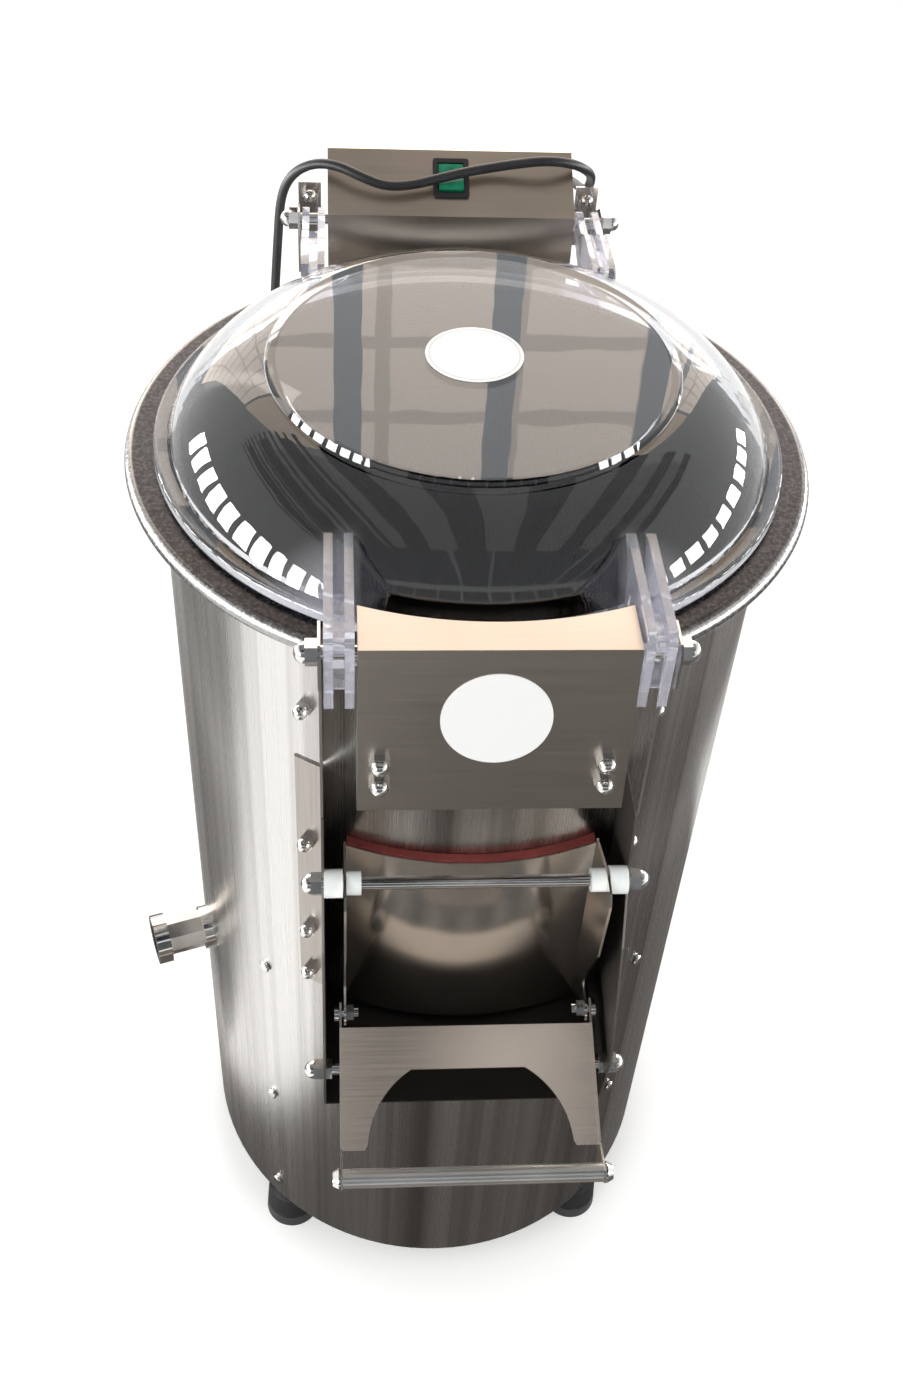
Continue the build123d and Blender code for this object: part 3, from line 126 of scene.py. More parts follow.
class PeelerCord(bpy.types.PropertyGroup):
    """Sizes of the mains cord and its coil."""

    diameter: FloatProperty(
        name="Cord diameter",
        description="Outer diameter of the round mains cord",
        default=7 * MM,
        unit="LENGTH",
        subtype="DISTANCE",
    )
    inner_turn: FloatProperty(
        name="Inner turns",
        description="Radius of the coil's inner turns",
        default=35.4 * MM,
        unit="LENGTH",
        subtype="DISTANCE",
    )
    outer_turn: FloatProperty(
        name="Outer turns",
        description="Radius of the coil's outer turns",
        default=42.6 * MM,
        unit="LENGTH",
        subtype="DISTANCE",
    )
    tie_width: FloatProperty(
        name="Tie width",
        description="Width of the strap round the coil",
        default=9 * MM,
        unit="LENGTH",
        subtype="DISTANCE",
    )


class PeelerStage(bpy.types.PropertyGroup):
    """Camera, floor and light of the studio."""

    camera_place: FloatVectorProperty(
        name="Camera place",
        description="Where the camera stands",
        default=(-0.0841, -0.8105, 1.3314),
        subtype="TRANSLATION",
        unit="LENGTH",
    )
    camera_aim: FloatVectorProperty(
        name="Camera aim",
        description="Direction in which the camera looks",
        default=(0.0733, 0.7097, -0.7006),
        subtype="DIRECTION",
    )
    camera_roll: FloatProperty(
        name="Camera roll",
        description="Turn of the camera about its own line of sight",
        default=math.radians(3.867),
        subtype="ANGLE",
        unit="ROTATION",
    )
    lens: FloatProperty(
        name="Lens", description="Focal length on a 36 mm sensor", default=40.85, unit="CAMERA"
    )
    floor_size: FloatProperty(
        name="Floor", description="Side of the square floor", default=14.0, unit="LENGTH"
    )
    key_power: FloatProperty(
        name="Key light", description="Power of the large soft light", default=26.0, unit="POWER"
    )
    sky_level: FloatProperty(
        name="Sky level", description="Light that comes from all round", default=0.62, min=0
    )


class Finish:
    """A procedural surface: one principled shader and the nodes that shape it."""

    def __init__(self, name, colour, metallic=0.0, roughness=0.5, **values):
        self.material = bpy.data.materials.new(name)
        self.material.use_nodes = True
        self.tree = self.material.node_tree
        self.shader = self.tree.nodes["Principled BSDF"]
        self.shader.inputs["Base Color"].default_value = (*colour, 1)
        self.shader.inputs["Metallic"].default_value = metallic
        self.shader.inputs["Roughness"].default_value = roughness
        for socket, value in values.items():
            self.shader.inputs[socket.replace("_", " ")].default_value = value

    def node(self, kind, **values):
        made = self.tree.nodes.new(kind)
        for key, value in values.items():
            if hasattr(made, key):
                setattr(made, key, value)
            else:
                made.inputs[key].default_value = value
        return made

    def link(self, output, socket):
        self.tree.links.new(output, socket)

    def place(self, stretch=EVEN, shift=(0, 0, 0)):
        """The object's own coordinates, moved and stretched along the axes."""
        own = self.node("ShaderNodeTexCoord")
        mapping = self.node("ShaderNodeMapping", Scale=stretch, Location=shift)
        self.link(own.outputs["Object"], mapping.inputs["Vector"])
        return mapping.outputs["Vector"]

    def pattern(self, kind, **values):
        """A texture laid plainly on the object's own coordinates."""
        own = self.node("ShaderNodeTexCoord")
        made = self.node(kind, **values)
        self.link(own.outputs["Object"], made.inputs["Vector"])
        return made

    def grain(self, scale, detail, stretch=EVEN, shift=(0, 0, 0)):
        """Noise drawn out along the axes that the stretch makes short."""
        noise = self.node("ShaderNodeTexNoise", Scale=scale, Detail=detail)
        self.link(self.place(stretch, shift), noise.inputs["Vector"])
        return noise.outputs["Fac"]

    def fit(self, value, before, after=(0, 1)):
        """Carry the range before over to the range after, and stop at its ends."""
        ranged = self.node("ShaderNodeMapRange")
        for key, limits in (("From", before), ("To", after)):
            ranged.inputs[key + " Min"].default_value = limits[0]
            ranged.inputs[key + " Max"].default_value = limits[1]
        self.link(value, ranged.inputs["Value"])
        return ranged.outputs["Result"]

    def reach(self, axes, low, high, shift=(0, 0, 0)):
        """0 up to low and 1 from high on, in distance from the origin along the axes."""
        length = self.node("ShaderNodeVectorMath", operation="LENGTH")
        self.link(self.place(axes, shift), length.inputs[0])
        return self.fit(length.outputs["Value"], (low, high))

    def pair(self, operation, first, second):
        """One number made of two others."""
        made = self.node("ShaderNodeMath", operation=operation)
        self.link(first, made.inputs[0])
        self.link(second, made.inputs[1])
        return made.outputs["Value"]

    def spread(self, factor, low, high, socket="Roughness", over=MOST_NOISE):
        """Let a grain move one number of the shader between low and high."""
        self.link(self.fit(factor, over, (low, high)), self.shader.inputs[socket])

    def shades(self, factor, colour, first, last, over=MOST_NOISE):
        """One colour along a grain, times the first share up to times the last."""
        return self.ramp(
            factor, ((over[0], shade(colour, first)), (over[1], shade(colour, last)))
        )

    def ramp(self, factor, stops):
        """Colour stops along a grain."""
        made = self.node("ShaderNodeValToRGB")
        band = made.color_ramp
        while len(band.elements) < len(stops):
            band.elements.new(0.5)
        for element, (position, colour) in zip(band.elements, stops):
            element.position = position
            element.color = (*colour, 1)
        self.link(factor, made.inputs["Fac"])
        return made.outputs["Color"]

    def blend(self, first, second, factor, blend_type="MIX"):
        """Mix two colours, each a socket or a plain colour."""
        mixed = self.node("ShaderNodeMix", data_type="RGBA", blend_type=blend_type)
        for side, value in (("A", first), ("B", second)):
            socket = next(s for s in mixed.inputs if s.name == side and s.type == "RGBA")
            if isinstance(value, bpy.types.NodeSocket):
                self.link(value, socket)
            else:
                socket.default_value = (*value, 1)
        if isinstance(factor, bpy.types.NodeSocket):
            self.link(factor, mixed.inputs["Factor"])
        else:
            mixed.inputs["Factor"].default_value = factor
        return next(s for s in mixed.outputs if s.type == "RGBA")

    def paint(self, colour):
        self.link(colour, self.shader.inputs["Base Color"])

    def bump(self, factor, distance, strength=1.0):
        made = self.node("ShaderNodeBump", Strength=strength, Distance=distance)
        self.link(factor, made.inputs["Height"])
        self.link(made.outputs["Normal"], self.shader.inputs["Normal"])


def shade(colour, factor):
    """The colour times a factor, which stops at white."""
    return tuple(min(1.0, channel * factor) for channel in colour)


def brushed_body(finishes):
    """Vertical brush lines with broad paler and darker bands, which are painted reflections."""
    colour = finishes.body_colour
    made = Finish("body_steel_painted_reflection_bands", colour, metallic=1.0)
    lines = made.grain(scale=900.0, detail=2.0, stretch=(1, 1, 0.002))
    streaks = made.grain(scale=75.0, detail=2.0, stretch=(1, 1, 0.004), shift=(0.4, 2.2, 0))
    bands = made.grain(scale=17.0, detail=3.0, stretch=(1, 1, 0.006), shift=(3.1, 0.7, 0))
    fine = made.shades(lines, colour, first=0.96, last=1.03, over=(0.25, 0.75))
    narrow = made.ramp(streaks, ((0.36, (0.70, 0.69, 0.68)), (0.52, WHITE)))
    # painted reflections: broad bands from dark grey to white, laid into the colour of the brushed
    # steel
    broad = made.ramp(
        bands, ((0.34, (0.36, 0.345, 0.335)), (0.47, (0.84, 0.83, 0.82)), (0.60, WHITE))
    )
    striped = made.blend(fine, narrow, 0.8, "MULTIPLY")
    made.paint(made.blend(striped, broad, 0.9, "MULTIPLY"))
    made.spread(lines, 0.26, 0.30)
    made.bump(lines, finishes.brush_depth, strength=0.15)
    return made.material


def satin_sheet(finishes, name, colour, brush=UPRIGHT, roughness=0.31):
    """Fine satin grain on folded sheet."""
    made = Finish(name, colour, metallic=1.0)
    lines = made.grain(scale=700.0, detail=2.0, stretch=brush)
    clouds = made.grain(scale=14.0, detail=2.0, stretch=(1, 1, 0.5))
    fine = made.shades(lines, colour, first=0.97, last=1.03)
    broad = made.shades(clouds, WHITE, first=0.88, last=1.0)
    made.paint(made.blend(fine, broad, 1.0, "MULTIPLY"))
    made.spread(lines, roughness * 0.93, roughness * 1.08)
    made.bump(lines, finishes.brush_depth, strength=0.08)
    return made.material


def chute_sheet(finishes):
    """Satin flanges on the body, and a dull inside between the cheeks with painted shade."""
    colour = finishes.sheet_colour
    made = Finish("chute_steel_painted_shade_inside", colour, metallic=1.0)
    lines = made.grain(scale=700.0, detail=2.0, stretch=UPRIGHT)
    fine = made.shades(lines, colour, first=0.78, last=0.92)
    # painted shade: between the cheeks the steel's colour drops to a tenth, as shadow inside the
    # chute
    clear_of_painted_shade = made.reach((1, 0, 0), 92.4 * MM, 92.7 * MM)
    made.paint(made.blend(shade(colour, 0.10), fine, clear_of_painted_shade))
    made.spread(clear_of_painted_shade, 0.5, 0.28, over=(0, 1))
    made.bump(lines, finishes.brush_depth, strength=0.2)
    return made.material


def polished_metal(name, colour, roughness=0.12):
    """Bright turned metal with faint smudges."""
    made = Finish(name, colour, metallic=1.0)
    smudges = made.grain(scale=60.0, detail=3.0)
    made.paint(made.shades(smudges, colour, first=0.9, last=1.0))
    made.spread(smudges, roughness * 0.7, roughness * 1.5)
    return made.material


def spun_rim(finishes):
    """Mottled flange with painted shade and a rolled bead with a painted highlight, spun round the
    axis.
    """
    # the flange's near-black colour is painted shade and the bead's paler colour a painted
    # highlight
    dark, pale = finishes.shaded_rim_colour, finishes.highlit_bead_colour
    made = Finish("spun_rim_steel_painted_shade_and_highlight", dark, metallic=1.0)
    mottle = made.grain(scale=420.0, detail=4.0)
    flange = made.ramp(
        mottle, ((0.30, shade(dark, 0.6)), (0.50, shade(dark, 1.2)), (0.75, shade(dark, 2.4)))
    )
    bead = made.shades(mottle, pale, first=0.72, last=1.0)
    on_highlit_bead = made.reach((1, 1, 0), 209.5 * MM, 212.0 * MM)
    rings = made.pattern(
        "ShaderNodeTexWave", wave_type="RINGS", rings_direction="Z", Scale=260.0, Distortion=0.6
    ).outputs["Fac"]
    turned = made.shades(rings, WHITE, first=0.82, last=1.0, over=(0.2, 0.8))
    made.paint(made.blend(made.blend(flange, bead, on_highlit_bead), turned, 0.6, "MULTIPLY"))
    made.spread(mottle, 0.18, 0.32)
    made.bump(rings, 0.03 * MM, strength=0.5)
    return made.material


def plain_drum(name, colour, roughness=0.2):
    """Smooth rolled sheet with faint cloudy wear."""
    made = Finish(name, colour, metallic=1.0)
    clouds = made.grain(scale=18.0, detail=4.0, stretch=(1, 1, 0.4))
    made.paint(made.shades(clouds, colour, first=0.85, last=1.08))
    made.spread(clouds, roughness * 0.95, roughness * 1.1)
    return made.material


def clear_plastic(finishes):
    """Clear moulded plastic, barely uneven, and paler in its thick ears and edge: partly the
    plastic's own milky tint, partly a painted highlight.
    """
    made = Finish("clear_lid_plastic", finishes.lid_colour, roughness=0.015, IOR=1.49)
    aside = made.reach((1, 0, 0), 70 * MM, 78 * MM)
    off_middle = made.reach((0, 1, 0), 140 * MM, 170 * MM)
    edge = made.reach((1, 1, 0), 190 * MM, 212 * MM)
    # milky, paler ears and edge: partly a tint of the plastic, partly a painted highlight along the
    # edge
    milky_tint_and_highlight = made.pair("MAXIMUM", edge, made.pair("MULTIPLY", aside, off_middle))
    made.paint(made.blend(finishes.lid_colour, finishes.ear_colour, milky_tint_and_highlight))
    made.spread(milky_tint_and_highlight, 1.0, 0.74, "Transmission Weight", over=(0, 1))
    made.bump(made.grain(scale=22.0, detail=1.0), 0.6 * MM, strength=0.10)
    return made.material


def moulded(name, colour, roughness, grain_scale=900.0, depth=0.03 * MM):
    """Moulded plastic or rubber with a fine texture."""
    made = Finish(name, colour)
    grain = made.grain(scale=grain_scale, detail=2.0)
    made.paint(made.shades(grain, colour, first=0.9, last=1.1))
    made.spread(grain, roughness * 0.85, roughness * 1.15)
    made.bump(grain, depth, strength=0.5)
    return made.material


def silicone(finishes):
    """Dark red seal that lets a little light through."""
    colour = finishes.silicone_colour
    made = Finish("red_silicone", colour, roughness=0.28, Subsurface_Weight=0.25)
    made.shader.inputs["Subsurface Radius"].default_value = (4 * MM, 1 * MM, 0.8 * MM)
    clouds = made.grain(scale=40.0, detail=2.0)
    made.paint(made.shades(clouds, colour, first=0.8, last=1.2))
    return made.material


def abrasive_grit(finishes):
    """Coarse dark grit set in resin."""
    colour = finishes.grit_colour
    made = Finish("abrasive_grit", colour, roughness=0.85, Specular_IOR_Level=0.0)
    cells = made.pattern("ShaderNodeTexVoronoi", Scale=420.0).outputs["Distance"]
    made.paint(made.shades(cells, colour, first=1.5, last=0.6, over=(0.0, 0.6)))
    made.bump(cells, 0.6 * MM, strength=0.5)
    return made.material


def cast_metal(name, colour, metallic, roughness):
    """Sand-cast or painted cast surface."""
    made = Finish(name, colour, metallic)
    sand = made.grain(scale=260.0, detail=4.0)
    made.paint(made.shades(sand, colour, first=0.85, last=1.12))
    made.spread(sand, roughness * 0.85, roughness * 1.2)
    made.bump(sand, 0.12 * MM, strength=0.6)
    return made.material


def green_plastic(finishes):
    """Glossy rocker that the light goes into a little."""
    colour = finishes.rocker_colour
    made = Finish("green_rocker", colour, roughness=0.15, Transmission_Weight=0.25)
    made.paint(made.shades(made.grain(scale=120.0, detail=2.0), colour, first=0.75, last=1.25))
    return made.material


def plain_label(finishes):
    """White disc, a touch uneven in its gloss."""
    made = Finish("white_label", finishes.label_colour)
    made.spread(made.grain(scale=60.0, detail=2.0), 0.46, 0.54)
    return made.material


def ringed_label(finishes, node, ring_start, ring_end):
    """White gloss disc with one thin ring, centred on its node."""
    low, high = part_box(node)
    centre = (low + high) / 2
    plain, ring = finishes.label_colour, finishes.ring_colour
    made = Finish("ringed_label", plain, roughness=0.25)
    out = made.reach(EVEN, 0.0, (high.x - low.x) / 2, tuple(-centre))
    soft = 0.01
    made.paint(
        made.ramp(
            out,
            (
                (ring_start - soft, plain),
                (ring_start, ring),
                (ring_end, ring),
                (ring_end + soft, plain),
            ),
        )
    )
    return made.material


def dress(names, material):
    """Give CAD nodes a better material."""
    for name in names:
        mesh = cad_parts[name].data
        mesh.materials.clear()
        mesh.materials.append(material)


def aim(thing, target):
    """Turn a lamp at its place towards a point."""
    thing.rotation_euler = (Vector(target) - thing.location).to_track_quat("-Z", "Y").to_euler()


def link_object(name, data):
    made = bpy.data.objects.new(name, data)
    bpy.context.scene.collection.objects.link(made)
    return made


def link_mesh(name, shape, material):
    """Turn a bmesh into an object that wears one material."""
    mesh = bpy.data.meshes.new(name)
    shape.to_mesh(mesh)
    shape.free()
    mesh.materials.append(material)
    return link_object(name, mesh)


def smooth_step(value, start, end):
    """0 before start, 1 after end, with an even start and stop."""
    share = min(1.0, max(0.0, (value - start) / (end - start)))
    return share * share * (3 - 2 * share)


class Softbox(NamedTuple):
    """A square lamp that stays out of mirrors."""

    name: str
    place: tuple
    side: float
    share: float  # of the key light's power


SOFTBOXES = (
    Softbox("key_softbox", place=(-1.6, -1.4, 2.6), side=1.8, share=1.0),
    Softbox("fill_softbox", place=(1.9, -0.9, 2.2), side=1.6, share=0.35),
    Softbox("front_softbox", place=(-0.2, -2.6, 1.5), side=1.6, share=0.5),
    Softbox("back_softbox", place=(0.3, 2.2, 2.4), side=1.8, share=0.55),
)
SOFTBOX_TARGET = (0, 0, 0.5)


class Card(NamedTuple):
    """A glowing or dark plane that only metal and gloss see."""

    name: str
    place: tuple
    facing: str
    size: tuple
    colour: tuple
    level: float
    panes: tuple = (1, 1)
    gap: float = 0.0


FACINGS = {
    "up": (0, 0, 0),
    "back": (math.pi / 2, 0, 0),
    "side": (math.pi / 2, 0, math.pi / 2),
}
CARD_LOW = FLOOR_LEVEL + 12 * MM  # just over the floor
WARM_GREY = (1.0, 0.93, 0.87)
WARM_LIGHT = (1.0, 0.88, 0.78)
COLD_DARK = (0.6, 0.8, 1.0)
PALE_SKY = (0.9, 0.95, 1.0)
FLOOR_CARDS = (
    Card(
        "floor_near", place=(0.15, -0.10, CARD_LOW), facing="up", size=(0.80, 0.70),
        colour=(1.0, 0.92, 0.85), level=0.11,
    ),
    Card(
        "floor_front", place=(0.40, -1.38, CARD_LOW), facing="up", size=(1.40, 1.86),
        colour=(1.0, 0.92, 0.84), level=0.165,
    ),
    Card(
        "floor_right", place=(1.65, 0.575, CARD_LOW), facing="up", size=(2.20, 2.05),
        colour=WARM_GREY, level=0.15, panes=(7, 1), gap=0.03,
    ),
    Card(
        "floor_far", place=(2.0, -1.3, CARD_LOW), facing="up", size=(1.8, 1.7),
        colour=WARM_GREY, level=0.15, panes=(4, 1), gap=0.03,
    ),
    Card(
        "floor_left", place=(-1.225, 0.79, CARD_LOW), facing="up", size=(1.95, 1.62),
        colour=(1.0, 0.96, 0.93), level=0.19, panes=(5, 1), gap=0.05,
    ),
    Card(
        "door_glow", place=(0.05, -0.545, CARD_LOW + 4 * MM), facing="up", size=(0.62, 0.07),
        colour=(1.0, 0.86, 0.74), level=0.62,
    ),
)
CEILING_CARDS = (
    Card(
        "zenith", place=(0.0, 0.075, 2.6), facing="up", size=(4.4, 2.05),
        colour=(1.0, 0.94, 0.88), level=0.60,
    ),
    Card(
        "canopy", place=(0.0, -1.775, 2.6), facing="up", size=(4.4, 1.65),
        colour=(0.55, 0.7, 1.0), level=0.10, panes=(11, 1), gap=0.07,
    ),
    Card(
        "canopy_back", place=(0.0, -1.775, 2.7), facing="up", size=(4.4, 1.65),
        colour=PALE_SKY, level=0.70,
    ),
    Card(
        "ribs", place=(-1.45, -0.3, 2.45), facing="up", size=(1.5, 3.4),
        colour=COLD_DARK, level=0.02, panes=(11, 1), gap=0.115,
    ),
    Card(
        "beams", place=(0.0, -0.4, 2.5), facing="up", size=(4.4, 3.6),
        colour=COLD_DARK, level=0.02, panes=(9, 1), gap=0.37,
    ),
)
WALL_CARDS = (
    Card(
        "front_wall", place=(0.0, -3.3, 1.5), facing="back", size=(4.6, 2.6),
        colour=(0.8, 0.9, 1.0), level=0.10, panes=(9, 1), gap=0.07,
    ),
    Card(
        "panes_left", place=(-2.5, -0.25, 1.08), facing="side", size=(4.2, 0.80),
        colour=WHITE, level=30.0, panes=(11, 1), gap=0.16,
    ),
    Card(
        "panes_right", place=(2.5, 0.3, 1.02), facing="side", size=(3.4, 0.5),
        colour=WHITE, level=24.0, panes=(9, 1), gap=0.14,
    ),
    Card(
        "warm_low", place=(0.05, 3.0, 2.05), facing="back", size=(4.6, 2.3),
        colour=WARM_LIGHT, level=4.6, panes=(12, 9), gap=0.06,
    ),
    Card(
        "warm_back", place=(0.05, 3.05, 2.05), facing="back", size=(4.6, 2.3),
        colour=WARM_LIGHT, level=3.3,
    ),
    Card(
        "warm_high", place=(0.0, 3.0, 4.05), facing="back", size=(4.6, 1.6),
        colour=(1.0, 0.82, 0.66), level=3.0,
    ),
    Card(
        "dark_posts", place=(0.60, 2.9, 2.1), facing="back", size=(2.6, 2.8),
        colour=PALE_SKY, level=1.7, panes=(6, 1), gap=0.50,
    ),
)


class PEELER_OT_camera_and_studio(bpy.types.Operator):
    """Set up the camera, the pale floor and the soft studio light"""

    bl_idname = "peeler.camera_and_studio"
    bl_label = "Camera and studio"
    sky_colour = (1, 0.995, 0.985)
    floor_colour = (0.86, 0.86, 0.85)
    floor_glow = 0.32  # lifts the floor to white without more light on the peeler

    def execute(self, context):
        stage = context.scene.peeler_stage
        self.camera(context, stage)
        self.world(context, stage)
        self.floor(stage)
        self.lamps(stage)
        for card in FLOOR_CARDS + CEILING_CARDS + WALL_CARDS:
            self.mirror_card(card)
        return {"FINISHED"}

    def camera(self, context, stage):
        forward = Vector(stage.camera_aim).normalized()
        right = forward.cross(Vector((0, 0, 1))).normalized()
        up = right.cross(forward)
        roll = Matrix.Rotation(-stage.camera_roll, 3, forward)
        lens = bpy.data.cameras.new("peeler_camera")
        lens.sensor_width = 36.0
        lens.lens = stage.lens
        lens.clip_end = 50.0
        made = link_object("peeler_camera", lens)
        turned = Matrix((roll @ right, roll @ up, -forward)).transposed()
        made.matrix_world = Matrix.Translation(stage.camera_place) @ turned.to_4x4()
        context.scene.camera = made

    def world(self, context, stage):
        world = bpy.data.worlds.new("studio_world")
        context.scene.world = world
        world.use_nodes = True
        tree = world.node_tree
        tree.nodes.clear()
        seen = self.seen_directly(tree)
        plain = tree.nodes.new("ShaderNodeBackground")
        plain.inputs["Strength"].default_value = stage.sky_level
        plain.inputs["Color"].default_value = (*self.sky_colour, 1)
        white = tree.nodes.new("ShaderNodeBackground")
        white.inputs["Color"].default_value = (*WHITE, 1)
        mixed = tree.nodes.new("ShaderNodeMixShader")
        out = tree.nodes.new("ShaderNodeOutputWorld")
        tree.links.new(seen, mixed.inputs["Fac"])
        tree.links.new(plain.outputs["Background"], mixed.inputs[1])
        tree.links.new(white.outputs["Background"], mixed.inputs[2])
        tree.links.new(mixed.outputs["Shader"], out.inputs["Surface"])

    def seen_directly(self, tree):
        """One where a ray comes from the camera, metal or glass."""
        path = tree.nodes.new("ShaderNodeLightPath")
        total = path.outputs["Is Camera Ray"]
        for name in ("Is Glossy Ray", "Is Transmission Ray"):
            both = tree.nodes.new("ShaderNodeMath")
            both.operation = "MAXIMUM"
            tree.links.new(total, both.inputs[0])
            tree.links.new(path.outputs[name], both.inputs[1])
            total = both.outputs["Value"]
        return total

    def floor(self, stage):
        shape = bmesh.new()
        bmesh.ops.create_grid(shape, x_segments=1, y_segments=1, size=stage.floor_size / 2)
        surface = Finish("pale_floor", self.floor_colour, roughness=0.9)
        tree = surface.tree
        glow = surface.node("ShaderNodeEmission")
        weight = surface.node("ShaderNodeMath", operation="MULTIPLY")
        weight.inputs[1].default_value = self.floor_glow
        surface.link(self.seen_directly(tree), weight.inputs[0])
        surface.link(weight.outputs["Value"], glow.inputs["Strength"])
        added = surface.node("ShaderNodeAddShader")
        surface.link(surface.shader.outputs["BSDF"], added.inputs[0])
        surface.link(glow.outputs["Emission"], added.inputs[1])
        surface.link(added.outputs["Shader"], tree.nodes["Material Output"].inputs["Surface"])
        made = link_mesh("studio_floor", shape, surface.material)
        made.location.z = FLOOR_LEVEL

    def lamps(self, stage):
        for softbox in SOFTBOXES:
            lamp = bpy.data.lights.new(softbox.name, "AREA")
            lamp.shape = "SQUARE"
            lamp.size = softbox.side
            lamp.energy = stage.key_power * softbox.share
            made = link_object(softbox.name, lamp)
            made.location = softbox.place
            made.visible_glossy = False
            made.visible_transmission = False
            aim(made, SOFTBOX_TARGET)

    def mirror_card(self, card):
        """Lay one card, which bright metal and gloss mirror and which lights nothing else."""
        material = bpy.data.materials.new(card.name)
        material.use_nodes = True
        tree = material.node_tree
        tree.nodes.remove(tree.nodes["Principled BSDF"])
        glow = tree.nodes.new("ShaderNodeEmission")
        glow.inputs["Color"].default_value = (*card.colour, 1)
        glow.inputs["Strength"].default_value = card.level
        tree.links.new(glow.outputs["Emission"], tree.nodes["Material Output"].inputs["Surface"])
        shape = bmesh.new()
        across, along = card.panes
        bmesh.ops.create_grid(shape, x_segments=across, y_segments=along, size=0.5)
        bmesh.ops.scale(shape, vec=(*card.size, 1), verts=shape.verts)
        if card.gap:
            frames = bmesh.ops.inset_individual(
                shape, faces=shape.faces, thickness=card.gap / 2
            )
            bmesh.ops.delete(shape, geom=frames["faces"], context="FACES")
        made = link_mesh(card.name, shape, material)
        made.location = card.place
        made.rotation_euler = FACINGS[card.facing]
        for ray in ("camera", "diffuse", "transmission", "volume_scatter", "shadow"):
            setattr(made, f"visible_{ray}", False)


